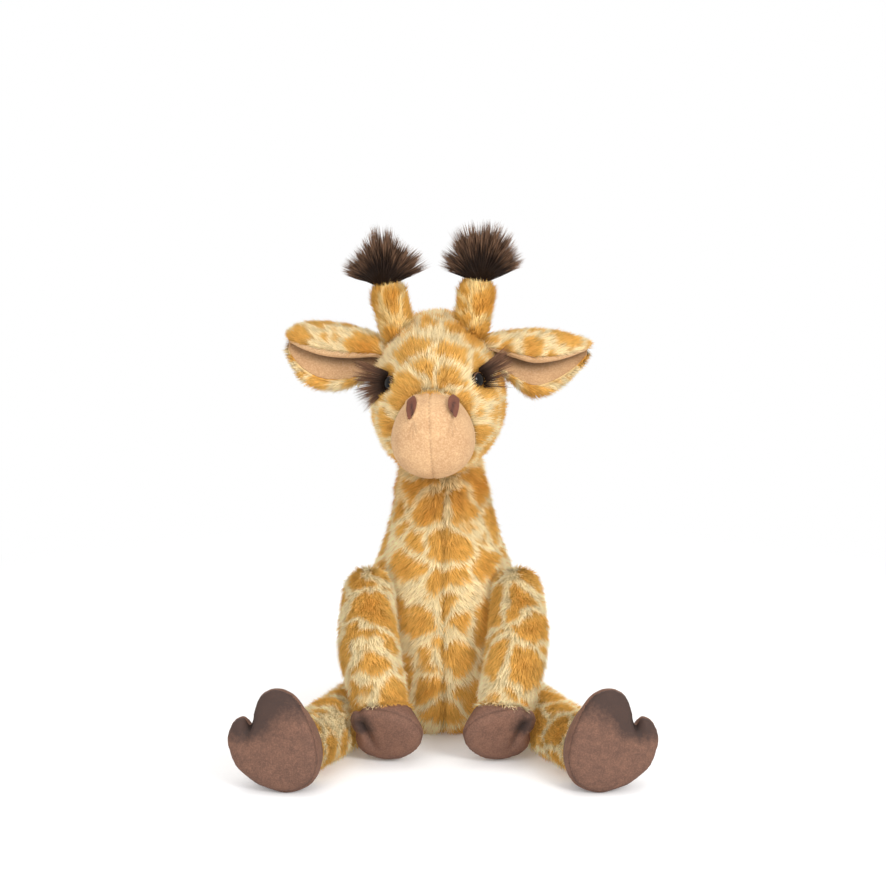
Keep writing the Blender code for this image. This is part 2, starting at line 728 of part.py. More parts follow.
def ears():
    """Fur back and velour lining of each ear, on the hinge of its root."""
    hinge = Vector((HEAD_HALF_WIDTH + EAR_STAND, -EAR_FORWARD, HEAD_LIFT + EAR_ABOVE_MIDDLE))
    for (side_name, side), rise in zip(SIDES, (EAR_RISE_LEFT, EAR_RISE_RIGHT), strict=True):
        carrier = pivot(f"ear_pivot_{side_name}", mirrored(hinge, side))
        carrier.parent = head_pivot
        carrier.rotation_euler = (0.0, -rise * side, 0.0)
        flip = Matrix.Diagonal((side, 1.0, 1.0, 1.0))
        back = ear_sheet(PILE, 0.0, 0.0)
        lining = ear_sheet(EAR_LINING_THICKNESS, EAR_LINING_THICKNESS + GAP, EAR_LINING_MARGIN)
        sheets = (("ear_back", back, PATCHED_PILE), ("ear_lining", lining, PEACH_VELOUR))
        for name, form, finish in sheets:
            bmesh.ops.transform(form, matrix=flip, verts=form.verts)
            bmesh.ops.recalc_face_normals(form, faces=form.faces)
            piece(f"{name}_{side_name}", form, finish, carrier)


def horn_rings(inset, low):
    """Rings of a horn along +Z from below its foot, and the tip of its round top."""
    top = HORN_LENGTH - HORN_TOP_RADIUS
    rings = []
    for step in range(PATH_STEPS):
        share = step / (PATH_STEPS - 1)
        height = low + share * (top - low)
        radius = HORN_BASE_RADIUS + share * (HORN_TOP_RADIUS - HORN_BASE_RADIUS) - inset
        rings.append(ring(UP * height, LEFTWARD, BACKWARD, radius, radius, 0.0, SMALL_SIDES))
    dome = HORN_TOP_RADIUS - inset
    for step in range(1, CAP_STEPS):
        lift = 0.5 * math.pi * step / CAP_STEPS
        rim = dome * math.cos(lift)
        centre = UP * (top + dome * math.sin(lift))
        rings.append(ring(centre, LEFTWARD, BACKWARD, rim, rim, 0.0, SMALL_SIDES))
    return rings, UP * (top + dome)


def horns():
    """Skin, stuffing and long-pile tuft of each horn, trimmed to the head."""
    head_room = cutter("horn_foot", head_form(-GAP), head_pivot)
    for side_name, side in SIDES:
        lean = Matrix.Rotation(HORN_LEAN * side, 4, "Y")
        across = HEAD_HALF_WIDTH * HORN_ACROSS_SHARE
        foot = Vector((across, -HORN_FORWARD, HEAD_LIFT + HEAD_HALF_HEIGHT * HORN_UP_SHARE))
        place = Matrix.Translation(mirrored(foot, side)) @ lean

        def set_on(form, place=place):
            bmesh.ops.transform(form, matrix=place, verts=form.verts)
            return form

        outer, outer_tip = horn_rings(0.0, -OVERRUN)
        inner, inner_tip = horn_rings(PILE, -OVERRUN)
        form = shell(outer[::-1], inner[::-1], outer_tip, inner_tip)
        skin = piece(f"horn_skin_{side_name}", set_on(form), PATCHED_PILE, head_pivot)
        combine(skin, head_room)
        rings, tip = horn_rings(PILE + GAP, -OVERRUN)
        form = solid(rings, None, tip)
        fill = piece(f"horn_stuffing_{side_name}", set_on(form), WHITE_FILL, head_pivot)
        combine(fill, head_room)

        low = HORN_LENGTH - TUFT_OVERLAP
        rings = []
        for along, wide_share, deep_share in TUFT_SHARES:
            centre = UP * (low + along * TUFT_LENGTH)
            wide = TUFT_HALF_WIDTH * wide_share
            deep = TUFT_HALF_DEPTH * deep_share
            rings.append(ring(centre, LEFTWARD, BACKWARD, wide, deep, 0.0, SMALL_SIDES))
        form = solid(rings, None, UP * (low + TUFT_LENGTH))
        tuft = piece(f"horn_tuft_{side_name}", set_on(form), DARK_PILE, head_pivot)
        rings, tip = horn_rings(-GAP, -OVERRUN)
        under = cutter(f"horn_top_{side_name}", set_on(solid(rings, None, tip)), head_pivot)
        combine(tuft, under)


def hoof_rings(start, hoof, inset, side, floor):
    """Rings that spread from a limb's round end to the cloven outline of its sole."""
    centre, facing, up, half_across, half_length = hoof
    out = facing.normalized()
    inward = out.cross(up)
    inward.normalize()
    if inward.x * side > 0.0:
        inward = -inward
    rise = inward.cross(out)
    rise.normalize()
    if rise.dot(up) < 0.0:
        rise = -rise
    round_centre, ahead, radius = start
    lift = (rise - ahead * rise.dot(ahead)).normalized()
    across = ahead.cross(lift)
    if across.dot(inward) < 0.0:
        across = -across
    rings = []
    for spread in HOOF_SPREAD_SHARES:
        points = []
        for inward_share, up_share in HOOF_OUTLINE_SHARES:
            angle = math.atan2(up_share, inward_share)
            near = round_centre + (across * math.cos(angle) + lift * math.sin(angle)) * (radius - inset)
            far_inward = inward * (inward_share * (half_across - inset))
            far_up = rise * (up_share * (half_length - inset))
            middle = round_centre.lerp(centre, spread)
            away = near.lerp(centre + far_inward + far_up, spread) - middle
            bow = math.sin(0.5 * math.pi * spread) - spread
            points.append(middle + away * (1.0 + HOOF_BOW_SHARE * bow))
        rings.append(points)
    return on_floor(rings, floor), (inward, rise, out)


def sole_rings(hoof, axes):
    """Rings and tip of the domed sole panel that closes a hoof."""
    centre, _, _, half_across, half_length = hoof
    inward, rise, out = axes
    rings = []
    for up_share, share in SOLE_DOME_SHARES:
        middle = centre + out * (GAP + up_share * SOLE_DOME)
        points = []
        for inward_share, rise_share in HOOF_OUTLINE_SHARES:
            across = inward * (inward_share * half_across * share)
            points.append(middle + across + rise * (rise_share * half_length * share))
        rings.append(points)
    return on_floor(rings), centre + out * (GAP + SOLE_DOME)


def limb(names, stations, hoof, side, side_name):
    """Skin, stuffing, hoof and sole of one arm or leg, on the empty at its seam."""
    skin_name, fill_name, hoof_name, sole_name = names
    stations = [(mirrored(place, side), radius) for place, radius in stations]
    hoof = (*(mirrored(part, side) for part in hoof[:3]), *hoof[3:])
    carrier = pivot(f"{skin_name}_pivot_{side_name}", stations[0][0])

    outer, outer_tip, ahead = limb_rings(stations)
    inner, inner_tip, _ = limb_rings(stations, PILE)
    outer = on_floor(outer)
    inner = on_floor(inner, PILE)
    shift = carrier.location
    tips = (outer_tip - shift, inner_tip - shift)
    form = shell(in_carrier(outer, carrier), in_carrier(inner, carrier), *tips)
    piece(f"{skin_name}_{side_name}", form, PATCHED_PILE, carrier)

    end, radius = stations[-1]
    cuff = (end + ahead * GAP, ahead, radius)
    hoof_outer, axes = hoof_rings(cuff, hoof, 0.0, side, 0.0)
    hoof_inner, _ = hoof_rings(cuff, hoof, VELOUR, side, VELOUR)
    form = shell(in_carrier(hoof_outer, carrier), in_carrier(hoof_inner, carrier))
    piece(f"{hoof_name}_{side_name}", form, MAUVE_VELOUR, carrier)

    rings, tip = sole_rings(hoof, axes)
    form = solid(in_carrier(rings, carrier), None, tip - shift)
    piece(f"{sole_name}_{side_name}", form, MAUVE_VELOUR, carrier)

    fill_rings, fill_tip, _ = limb_rings(stations, PILE + GAP)
    fill_rings = on_floor(fill_rings, PILE + GAP)
    form = solid(in_carrier(fill_rings, carrier), fill_tip - shift, None)
    fill = piece(f"{fill_name}_{side_name}", form, WHITE_FILL, carrier)
    pad_rings, _ = hoof_rings(cuff, hoof, PILE + GAP, side, PILE + GAP)
    back = [end.lerp(point, PAD_TAPER_SHARE) - ahead * OVERRUN for point in pad_rings[0]]
    pad = cutter(f"{hoof_name}_fill_{side_name}", solid(in_carrier([back, *pad_rings], carrier)), carrier)
    combine(fill, pad, "UNION")


def limbs():
    """Both arms and both legs."""
    elbow = SHOULDER + TO_ELBOW
    wrist = elbow + TO_WRIST
    arm = ((SHOULDER, SHOULDER_RADIUS), (elbow, ELBOW_RADIUS), (wrist, WRIST_RADIUS))
    hand = (wrist + TO_HAND, HAND_FACING, HAND_UP, HAND_HALF_ACROSS, HAND_HALF_LENGTH)
    arm_names = ("arm_skin", "arm_stuffing", "hand_hoof", "hand_sole")

    knee = HIP + TO_KNEE
    knee.z = KNEE_RADIUS - LEG_PRESS
    ankle = knee + TO_ANKLE
    ankle.z = ANKLE_RADIUS + ANKLE_RISE
    heel = ankle + TO_FOOT
    heel.z = FOOT_HALF_LENGTH - FOOT_PRESS
    leg = ((HIP, HIP_RADIUS), (knee, KNEE_RADIUS), (ankle, ANKLE_RADIUS))
    foot = (heel, FOOT_FACING, FOOT_UP, FOOT_HALF_ACROSS, FOOT_HALF_LENGTH)
    leg_names = ("leg_skin", "leg_stuffing", "foot_hoof", "foot_sole")
    for side_name, side in SIDES:
        limb(arm_names, arm, hand, side, side_name)
        limb(leg_names, leg, foot, side, side_name)


def tail():
    """The tail and its dark tuft, hanging from the back."""
    carrier = pivot("tail_pivot", TAIL_ROOT)
    middle = TAIL_ROOT + TO_TAIL_MIDDLE
    end = middle + TO_TAIL_END
    stations = tuple((place, TAIL_RADIUS) for place in (TAIL_ROOT, middle, end))
    rings, tip, ahead = limb_rings(stations)
    form = solid(in_carrier(rings, carrier), tip - carrier.location, None)
    piece("tail_skin", form, PATCHED_PILE, carrier)
    across = ahead.cross(UP).normalized()
    along = across.cross(ahead)
    rings = []
    for ahead_share, share in TAIL_TUFT_SHARES:
        centre = end + ahead * (GAP + ahead_share * TAIL_TUFT_LENGTH)
        radius = TAIL_TUFT_RADIUS * share
        rings.append(ring(centre, across, along, radius, radius, 0.0, SMALL_SIDES))
    tip = end + ahead * (GAP + TAIL_TUFT_LENGTH) - carrier.location
    piece("tail_tuft", solid(in_carrier(rings, carrier), None, tip), DARK_PILE, carrier)


torso()
head()
ears()
horns()
limbs()
tail()
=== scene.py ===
import json
import math

import bmesh
import bpy
import numpy as np
from mathutils import Euler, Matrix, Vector
from mathutils.bvhtree import BVHTree


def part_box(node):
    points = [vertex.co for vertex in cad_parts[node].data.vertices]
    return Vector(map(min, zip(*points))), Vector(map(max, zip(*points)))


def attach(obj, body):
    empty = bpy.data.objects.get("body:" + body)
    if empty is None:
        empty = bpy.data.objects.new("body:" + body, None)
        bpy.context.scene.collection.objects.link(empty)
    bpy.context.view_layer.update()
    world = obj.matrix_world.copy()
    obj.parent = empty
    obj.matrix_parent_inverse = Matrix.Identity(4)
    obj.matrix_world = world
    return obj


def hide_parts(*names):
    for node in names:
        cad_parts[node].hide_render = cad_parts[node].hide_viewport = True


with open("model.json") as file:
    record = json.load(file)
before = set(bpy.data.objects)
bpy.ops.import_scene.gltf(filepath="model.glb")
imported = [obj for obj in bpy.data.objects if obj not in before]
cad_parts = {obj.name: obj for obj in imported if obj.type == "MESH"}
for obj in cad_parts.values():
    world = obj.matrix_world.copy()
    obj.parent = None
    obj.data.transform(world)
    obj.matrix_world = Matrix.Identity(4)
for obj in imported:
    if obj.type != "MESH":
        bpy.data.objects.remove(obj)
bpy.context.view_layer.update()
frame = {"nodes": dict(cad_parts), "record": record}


# ---------------------------------------------------------------------------
# The camera. The toy is seen from the front and a little above, from far
# enough away that its feet stay nearly as large as its head.

look_at = Vector((0.0, 0.0, 0.1710))
camera_distance, camera_rise = 1.5, math.radians(10.5)
from_front = Vector((0.0, -math.cos(camera_rise), math.sin(camera_rise)))
look_from = look_at + from_front * camera_distance
frame_across = 0.5390


def placed(name, data):
    """A new object in the scene."""
    thing = bpy.data.objects.new(name, data)
    bpy.context.scene.collection.objects.link(thing)
    return thing


camera_lens = bpy.data.cameras.new("camera")
camera_lens.sensor_width = 36.0
camera_lens.lens = camera_lens.sensor_width * (look_from - look_at).length / frame_across
camera = placed("camera", camera_lens)
camera.location = look_from
camera.rotation_euler = (look_at - look_from).to_track_quat("-Z", "Y").to_euler()
bpy.context.scene.camera = camera


# ---------------------------------------------------------------------------
# The body: one long bag of patched plush, sewn from two fronts and a back,
# that holds the filling. It runs up into the neck, and its seam shows as a
# dark parting down the front, from which the pile lies down and outwards.


class Thread:
    """One value on its way through a node tree. Sums written on it become Math nodes."""

    def __init__(self, tree, socket=None):
        self.tree = tree
        self.socket = socket

    def node(self, kind, settings=None, inputs=None, out=0):
        made = self.tree.nodes.new(kind)
        for name, value in (settings or {}).items():
            setattr(made, name, value)
        for key, value in (inputs or {}).items():
            if isinstance(value, Thread):
                self.tree.links.new(value.socket, made.inputs[key])
            else:
                made.inputs[key].default_value = value
        return Thread(self.tree, made.outputs[out])

    def sum(self, operation, a, b=0.0):
        return self.node("ShaderNodeMath", {"operation": operation}, {0: a, 1: b})

    def __add__(self, other):
        return self.sum("ADD", self, other)

    def __sub__(self, other):
        return self.sum("SUBTRACT", self, other)

    def __mul__(self, other):
        return self.sum("MULTIPLY", self, other)

    def __truediv__(self, other):
        return self.sum("DIVIDE", self, other)

    def __rsub__(self, other):
        return self.sum("SUBTRACT", other, self)

    __radd__ = __add__
    __rmul__ = __mul__

    def twin(self, out):
        """Another result of the node that this one comes from."""
        return Thread(self.tree, self.socket.node.outputs[out])

    def here(self):
        """A point's place in its own object."""
        return self.node("ShaderNodeTexCoord", out=3)

    def axis(self, number):
        """One of a vector's three parts."""
        return self.node("ShaderNodeSeparateXYZ", {}, {0: self}, number)

    def vector(self, operation, a, b):
        keys = {0: a, 3: b} if operation == "SCALE" else {0: a, 1: b}
        return self.node("ShaderNodeVectorMath", {"operation": operation}, keys)

    def between(self, share, a, b):
        """A colour that goes from a to b with a share."""
        return self.node("ShaderNodeMix", {"data_type": "RGBA"}, {0: share, 6: a, 7: b}, 2)

    def step(self, low, high):
        """0 below low, 1 above high, and a soft rise between."""
        inputs = {0: self, 1: low, 2: high, 3: 0.0, 4: 1.0}
        return self.node("ShaderNodeMapRange", {"interpolation_type": "SMOOTHSTEP"}, inputs)

    def attribute(self, name, out):
        return self.node("ShaderNodeAttribute", {"attribute_name": name}, out=out)

    def grain(self, place, size, detail=2.0, rough=0.5):
        """Noise from 0 to 1 with blobs of about this size, in metres."""
        inputs = {"Vector": place, "Scale": 1.0 / size, "Detail": detail, "Roughness": rough}
        return self.node("ShaderNodeTexNoise", {}, inputs)


def dye(red, green, blue):
    """A colour as a shop would give it, 0 to 255, ready for a shader."""
    linear = []
    for share in (red / 255.0, green / 255.0, blue / 255.0):
        linear.append(share / 12.92 if share < 0.04045 else ((share + 0.055) / 1.055) ** 2.4)
    return (*linear, 1.0)


white = (1.0, 1.0, 1.0, 1.0)


def finish_of(name, sheen=0.0, sheen_tint=white):
    """A new material, its Principled node, and a thread to start from."""
    made = bpy.data.materials.new(name)
    made.use_nodes = True
    shader = made.node_tree.nodes["Principled BSDF"]
    shader.inputs["Sheen Weight"].default_value = sheen
    shader.inputs["Sheen Tint"].default_value = sheen_tint
    return made, shader, Thread(made.node_tree)


def lead(thread, shader, key):
    """Feeds one input of a shader."""
    thread.tree.links.new(thread.socket, shader.inputs[key])


def patched(thread, place, patch_size, line_share, patch, patch_deep, line):
    """Rounded patches parted by pale lines, as a colour that follows a place."""
    drift = thread.vector("SUBTRACT", thread.grain(place, 0.011).twin(1), (0.5,) * 3)
    moved = thread.vector("ADD", place, thread.vector("SCALE", drift, 0.013))
    cells = {"Vector": moved, "Scale": 1.0 / patch_size, "Randomness": 0.85}
    edge = thread.node("ShaderNodeTexVoronoi", {"feature": "DISTANCE_TO_EDGE"}, cells)
    own = thread.node("ShaderNodeTexVoronoi", {"feature": "F1"}, cells, 1)
    tone = thread.node("ShaderNodeSeparateColor", {}, {0: own})
    inside = edge.step(line_share - 0.035, line_share + 0.040)
    deep = edge.step(line_share, line_share + 0.34) * (0.35 + tone * 0.65)
    return thread.between(inside, line, thread.between(deep, patch, patch_deep))


def evened(thread, share):
    """A strand's facing, drawn towards that of the skin below it, as deep pile scatters light."""
    ways = {"vector_type": "NORMAL", "convert_from": "OBJECT", "convert_to": "WORLD"}
    below = thread.node("ShaderNodeVectorTransform", ways, {0: thread.attribute("facing", 1)})
    own = thread.node("ShaderNodeNewGeometry", out=1)
    below, own = thread.vector("SCALE", below, share), thread.vector("SCALE", own, 1.0 - share)
    mixed = thread.vector("ADD", below, own)
    return thread.node("ShaderNodeVectorMath", {"operation": "NORMALIZE"}, {0: mixed})


# painted glow: the pile gives off a share of its own colour, standing in for light that the fibres pass on to
# each other
painted_glow = 0.17  # light that the fibres pass on to each other
fibre_gloss = 0.2


def coat_finish(name, place_from, patch_size, line_share, colours, root_shade, parting):
    """Patched pile. place_from is the strand's own root, or nothing for the cloth below."""
    made, shader, start = finish_of(name)
    shader.inputs["Emission Strength"].default_value = painted_glow
    shader.inputs["Specular IOR Level"].default_value = fibre_gloss
    # painted shade: the pile darker and warmer towards its roots, where it shades itself, and the cloth below
    # it darkened the same way
    painted_root_shade = (root_shade, root_shade * 0.86, root_shade * 0.66, 1.0)
    if place_from:
        place = start.attribute(place_from, 1)
        lit = start.between(start.attribute("along", 2), painted_root_shade, (1.08, 1.08, 1.06, 1.0))
        light = start.attribute("shade", 2) * 0.22 + 0.89
        lead(evened(start, 0.75), shader, "Normal")
    else:
        place = start.here()
        lit = painted_root_shade[:3]
        # the cloth's grain, darkened by painted shade where other parts meet it
        light = (start.grain(place, 0.0016) * 0.25 + 0.9) * (1.0 - start.attribute("seam_and_shade", 2) * 0.62)
    colour = patched(start, place, patch_size, line_share, *colours)
    # broad marks where the pile is brushed, and small painted shade between the locks that it gathers into
    lock_shade = start.grain(place, 0.0034).step(0.32, 0.62) * 0.26 + 0.83
    broad = (start.grain(place, 0.030) * 0.24 + 0.88) * lock_shade
    # painted shade along the parting down the front, lighter on the pile and stronger on the cloth below
    if parting:
        behind = place.axis(1).step(-0.002, 0.002)
        off_middle = start.sum("ABSOLUTE", place.axis(0))
        off_middle = off_middle + (start.grain(place, 0.006) - 0.4) * 0.005 + behind * 0.01
        broad = broad * (off_middle.step(0.0, 0.0026) * parting + (1.0 - parting))
        # painted shade under the chin, on the front of the neck
        chin_shade = place.axis(2).step(0.118, 0.150) * (1.0 - behind)
        colour = start.vector("MULTIPLY", colour, start.between(chin_shade, white, (0.76, 0.66, 0.55, 1.0)))
    tinted = start.vector("SCALE", start.vector("MULTIPLY", colour, lit), light * broad)
    lead(tinted, shader, "Base Color")
    # the painted glow, in the pile's own colour
    lead(tinted, shader, "Emission Color")
    lead(start.grain(place, 0.004) * 0.2 + 0.68, shader, "Roughness")
    return made


def coat_finishes(name, patch_size, line_share, colours, root_shades, parting_shades=(0.0, 0.0)):
    """The strands and the cloth below them, in one pattern of patches."""
    pattern = (patch_size, line_share, colours)
    strands = coat_finish(name + "_pile", "root", *pattern, root_shades[0], parting_shades[0])
    cloth = coat_finish(name + "_backing", None, *pattern, root_shades[1], parting_shades[1])
    return strands, cloth


# the patches, their middles and the lines between them
caramels = dye(238, 184, 96), dye(216, 149, 60), dye(255, 236, 190)
body_strand, body_cloth = coat_finishes(
    "body", 0.0220, 0.078, caramels, root_shades=(0.62, 0.60), parting_shades=(0.25, 0.4)
)


def surface_of(*names):
    """The outside of some of the frame's pieces, to be felt by rays."""
    corners, faces = [], []
    for name in names:
        mesh = frame["nodes"][name].data
        first = len(corners)
        corners += [v.co.copy() for v in mesh.vertices]
        faces += [[first + i for i in face.vertices] for face in mesh.polygons]
    return BVHTree.FromPolygons(corners, faces)


def surface_of_bodies(*bodies):
    groups = frame["record"]["behaviour"]["bodies"]
    return surface_of(*[name for body in bodies for name in groups[body]])


def through(points, count):
    """A smooth line through a few points."""
    points = [Vector(p) for p in points]
    ends = [2 * points[0] - points[1], *points, 2 * points[-1] - points[-2]]
    line = []
    for i in range(1, len(ends) - 2):
        before, a, b, after = ends[i - 1 : i + 3]
        square, cube = 2 * before - 5 * a + 4 * b - after, 3 * a - before - 3 * b + after
        for t in (j / count for j in range(count)):
            line.append(0.5 * (2 * a + (b - before) * t + square * t**2 + cube * t**3))
    return line + [points[-1]]


def meshed(name, bm):
    """What was built face by face, as an object of the scene."""
    mesh = bpy.data.meshes.new(name)
    bm.to_mesh(mesh)
    bm.free()
    return placed(name, mesh)


def felt(name, tree, middle, axis=None, reach=0.08, around=72, cap=14, ease=3):
    """A closed skin whose every point is where a ray from outside first meets a form."""
    middle = [Vector(p) for p in middle]
    if len(middle) == 1:
        ways = [Vector(axis).normalized()]
    else:
        last = len(middle) - 1
        spans = [(max(i - 1, 0), min(i + 1, last)) for i in range(last + 1)]
        ways = [(middle[after] - middle[before]).normalized() for before, after in spans]
    side = ways[0].orthogonal().normalized()
    stations = []
    for i, (centre, way) in enumerate(zip(middle, ways)):
        side = (side - way * side.dot(way)).normalized()
        if i == 0:
            stations += [(centre, way, side, 90.0 * j / cap - 90.0) for j in range(1, cap)]
        stations.append((centre, way, side, 0.0))
        if i == len(middle) - 1:
            stations += [(centre, way, side, 90.0 * j / cap) for j in range(1, cap)]

    def touch(centre, outward):
        met = tree.ray_cast(centre + outward * reach, -outward, reach)[0]
        return (met - centre).length if met else 0.001

    bm = bmesh.new()
    spokes = []
    for centre, way, side, tilt in stations:
        cross = way.cross(side)
        lean = math.radians(tilt)
        turns = [math.tau * k / around for k in range(around)]
        flats = [side * math.cos(turn) + cross * math.sin(turn) for turn in turns]
        spokes.append([flat * math.cos(lean) + way * math.sin(lean) for flat in flats])
    reaches = [[touch(row[0], spoke) for spoke in star] for row, star in zip(stations, spokes)]
    reaches = np.array(reaches)
    beside = [np.roll(reaches, k, axis=1) for k in (-1, 0, 1)]
    stacked = [np.roll(b, j, axis=0) for b in beside for j in (-1, 0, 1)]
    # the middle of nine neighbours closes the narrow gaps between sewn pieces
    reaches[1:-1] = np.median(stacked, axis=0)[1:-1]
    rings = [
        [bm.verts.new(row[0] + spoke * far) for spoke, far in zip(star, fars)]
        for row, star, fars in zip(stations, spokes, reaches)
    ]
    for low, high in zip(rings, rings[1:]):
        for k in range(around):
            bm.faces.new((low[k - 1], low[k], high[k], high[k - 1]))
    poles = (rings[0], middle[0], -ways[0], reaches[0]), (rings[-1], middle[-1], ways[-1], reaches[-1])
    for ring, centre, way, fars in poles:
        pole = bm.verts.new(centre + way * float(np.median(fars)))
        for k in range(around):
            bm.faces.new((ring[k - 1], ring[k], pole))
    all_ways = dict(use_axis_x=True, use_axis_y=True, use_axis_z=True)
    for _ in range(ease):
        bmesh.ops.smooth_vert(bm, verts=bm.verts, factor=0.5, **all_ways)
    bmesh.ops.recalc_face_normals(bm, faces=bm.faces)
    return meshed(name, bm)


def places(mesh, key="co"):
    """Every point of a mesh, as rows."""
    flat = np.empty(len(mesh.vertices) * 3)
    mesh.vertices.foreach_get(key, flat)
    return flat.reshape(-1, 3)


def outward(mesh):
    """Which way a mesh faces at every point."""
    return places(mesh, "normal")


def points_of(thing):
    """A piece's points, and which way it faces at each."""
    return places(thing.data), outward(thing.data)


def put(mesh, points):
    """Moves a mesh's points."""
    mesh.vertices.foreach_set("co", np.asarray(points, float).ravel())
    mesh.update()


def ramp(values, low, width):
    """0 up to low, and from there up to 1 over a width."""
    return np.clip((values - low) / width, 0.0, 1.0)


def bell(off, width):
    """1 on a line or a spot, falling away to nothing on both sides of it."""
    return np.exp(-((off / width) ** 2))


def written(mesh, name, values):
    """Keeps one value for every point of a mesh, for the materials and the pile."""
    held = mesh.attributes.get(name) or mesh.attributes.new(name, "FLOAT", "POINT")
    held.data.foreach_set("value", np.asarray(values, np.float32))


def baked(thing):
    """Applies whatever modifiers the piece has."""
    bpy.context.view_layer.update()
    evaluated = thing.evaluated_get(bpy.context.evaluated_depsgraph_get())
    made = bpy.data.meshes.new_from_object(evaluated)
    thing.modifiers.clear()
    thing.data = made
    made.polygons.foreach_set("use_smooth", [True] * len(made.polygons))
    return thing


def rounded(thing, levels):
    """Splits a form's faces finer, and so rounds it."""
    subdivision = thing.modifiers.new("round", "SUBSURF")
    subdivision.levels = subdivision.render_levels = levels
    return baked(thing)


def away_from(tree, points):
    """How far each point is from the surface of other pieces, as far as 2 cm."""
    far = 1.0
    return np.array([(tree.find_nearest(Vector(p), 0.02)[3] or far) if tree else far for p in points])


def tree_of(thing):
    """The surface of a finished piece, to measure from."""
    corners = [vertex.co for vertex in thing.data.vertices]
    return BVHTree.FromPolygons(corners, [face.vertices for face in thing.data.polygons])


def clear_of(thing, points):
    """How far each point is outside a finished skin; inside it the number is below zero."""
    tree = tree_of(thing)
    found = [tree.find_nearest(Vector(p)) for p in points]
    return np.array([(Vector(p) - spot).dot(way) for p, (spot, way, _, _) in zip(points, found)])


# a light, easily stretched cloth; its simulation runs away on the torso and the head and
# outgrows the bounds below on most of the other skins, so they set nearly all of the rise
cloth_values = {
    "use_pressure": True, "uniform_pressure_force": 2000.0, "mass": 0.0005, "quality": 3,
    "tension_stiffness": 0.1, "compression_stiffness": 0.1, "shear_stiffness": 0.1,
    "bending_stiffness": 0.002,
}
cloth_moments = 8
least_filled, most_filled, quickly_filled = 0.65, 0.9, 0.8


def stuffed(thing, neighbours, voxel, swell, inset=0.0008, finer=1):
    """Cuts a skin as cloth and rounds it out under pressure, within bounds that set nearly all of it."""
    remesh = thing.modifiers.new("cut", "REMESH")
    remesh.mode = "VOXEL"
    remesh.voxel_size = voxel
    baked(thing)
    mesh = thing.data
    resting = places(mesh) - outward(mesh) * inset
    put(mesh, resting)
    cap = np.minimum(swell, 0.4 * away_from(neighbours, resting))
    cloth = thing.modifiers.new("filling", "CLOTH")
    for key, value in cloth_values.items():
        setattr(cloth.settings, key, value)
    cloth.settings.effector_weights.gravity = 0.0
    cloth.point_cache.frame_start, cloth.point_cache.frame_end = 1, cloth_moments
    for moment in range(1, cloth_moments + 1):
        bpy.context.scene.frame_set(moment)
    filled = thing.evaluated_get(bpy.context.evaluated_depsgraph_get())
    moved = places(filled.to_mesh()) - resting
    filled.to_mesh_clear()
    thing.modifiers.clear()
    bpy.context.scene.frame_set(1)
    along_normal = np.sum(moved * outward(mesh), axis=1)
    risen = np.clip(along_normal, cap * least_filled, cap * most_filled)
    put(mesh, resting + outward(mesh) * risen[:, None])
    return rounded(thing, finer)


def comb(thing, lay, cover=None, pile=None, pressed=1.0, lift=0.0):
    """Writes on a skin which way its pile lies, where it grows and how long it is there."""
    mesh = thing.data
    at, out = points_of(thing)
    way = lay(at)
    way = way - out * pressed * np.sum(way * out, axis=1, keepdims=True)
    way /= np.maximum(np.linalg.norm(way, axis=1, keepdims=True), 1e-6)
    way = way + out * np.reshape(lift, (-1, 1))
    held = mesh.attributes.get("lay") or mesh.attributes.new("lay", "FLOAT_VECTOR", "POINT")
    held.data.foreach_set("vector", np.asarray(way.ravel(), np.float32))
    written(mesh, "cover", np.ones(len(at)) if cover is None else cover)
    written(mesh, "pile", np.ones(len(at)) if pile is None else pile)


pile_tree = bpy.data.node_groups.new("pile", "GeometryNodeTree")
pile_tree.interface.new_socket("Skin", in_out="INPUT", socket_type="NodeSocketGeometry")
pile_tree.interface.new_socket("Strands", in_out="OUTPUT", socket_type="NodeSocketGeometry")
pile_inputs = {}
for kind, labels in (
    ("Float", ("Length", "Width", "Density", "Stand", "Scatter", "Wave", "Lock", "Bend")),
    ("Int", ("Seed", "Joints")),
    ("Material", ("Finish",)),
):
    for label in labels:
        socket = pile_tree.interface.new_socket(label, in_out="INPUT", socket_type="NodeSocket" + kind)
        pile_inputs[label] = socket
pile_in = pile_tree.nodes.new("NodeGroupInput")
given = {label: Thread(pile_tree, pile_in.outputs[label]) for label in ("Skin", *pile_inputs)}
begin = Thread(pile_tree)


def noted(geometry, name, kind, domain, value):
    """Keeps a value on a geometry under a name."""
    inputs = {"Geometry": geometry, "Name": name, "Value": value}
    return begin.node("GeometryNodeStoreNamedAttribute", {"data_type": kind, "domain": domain}, inputs)


def noted_before(name, kind="FLOAT"):
    """A value that was kept under a name."""
    return begin.node("GeometryNodeInputNamedAttribute", {"data_type": kind}, {"Name": name})


def chance(low, high, seed, out=1, kind="FLOAT", keys=(2, 3)):
    """A random value for each strand."""
    inputs = {keys[0]: low, keys[1]: high, "Seed": seed}
    return begin.node("FunctionNodeRandomValue", {"data_type": kind}, inputs, out)


# one strand: a thin cone of three sides that bows over towards its tip
length = given["Length"]
strand = begin.node(
    "GeometryNodeMeshCone",
    {"fill_type": "NGON"},
    {"Vertices": 3, "Side Segments": given["Joints"], "Radius Top": 0.0,
     "Radius Bottom": given["Width"] * 0.5, "Depth": length},
)
where = begin.node("GeometryNodeInputPosition")
along = where.axis(2) / length
strand = noted(strand, "along", "FLOAT", "POINT", along)
bow = {0: along * along * given["Bend"] * length, 2: along * along * length * -0.12}
bow = begin.node("ShaderNodeCombineXYZ", {}, bow)
strand = begin.node("GeometryNodeSetPosition", {}, {"Geometry": strand, "Offset": bow})

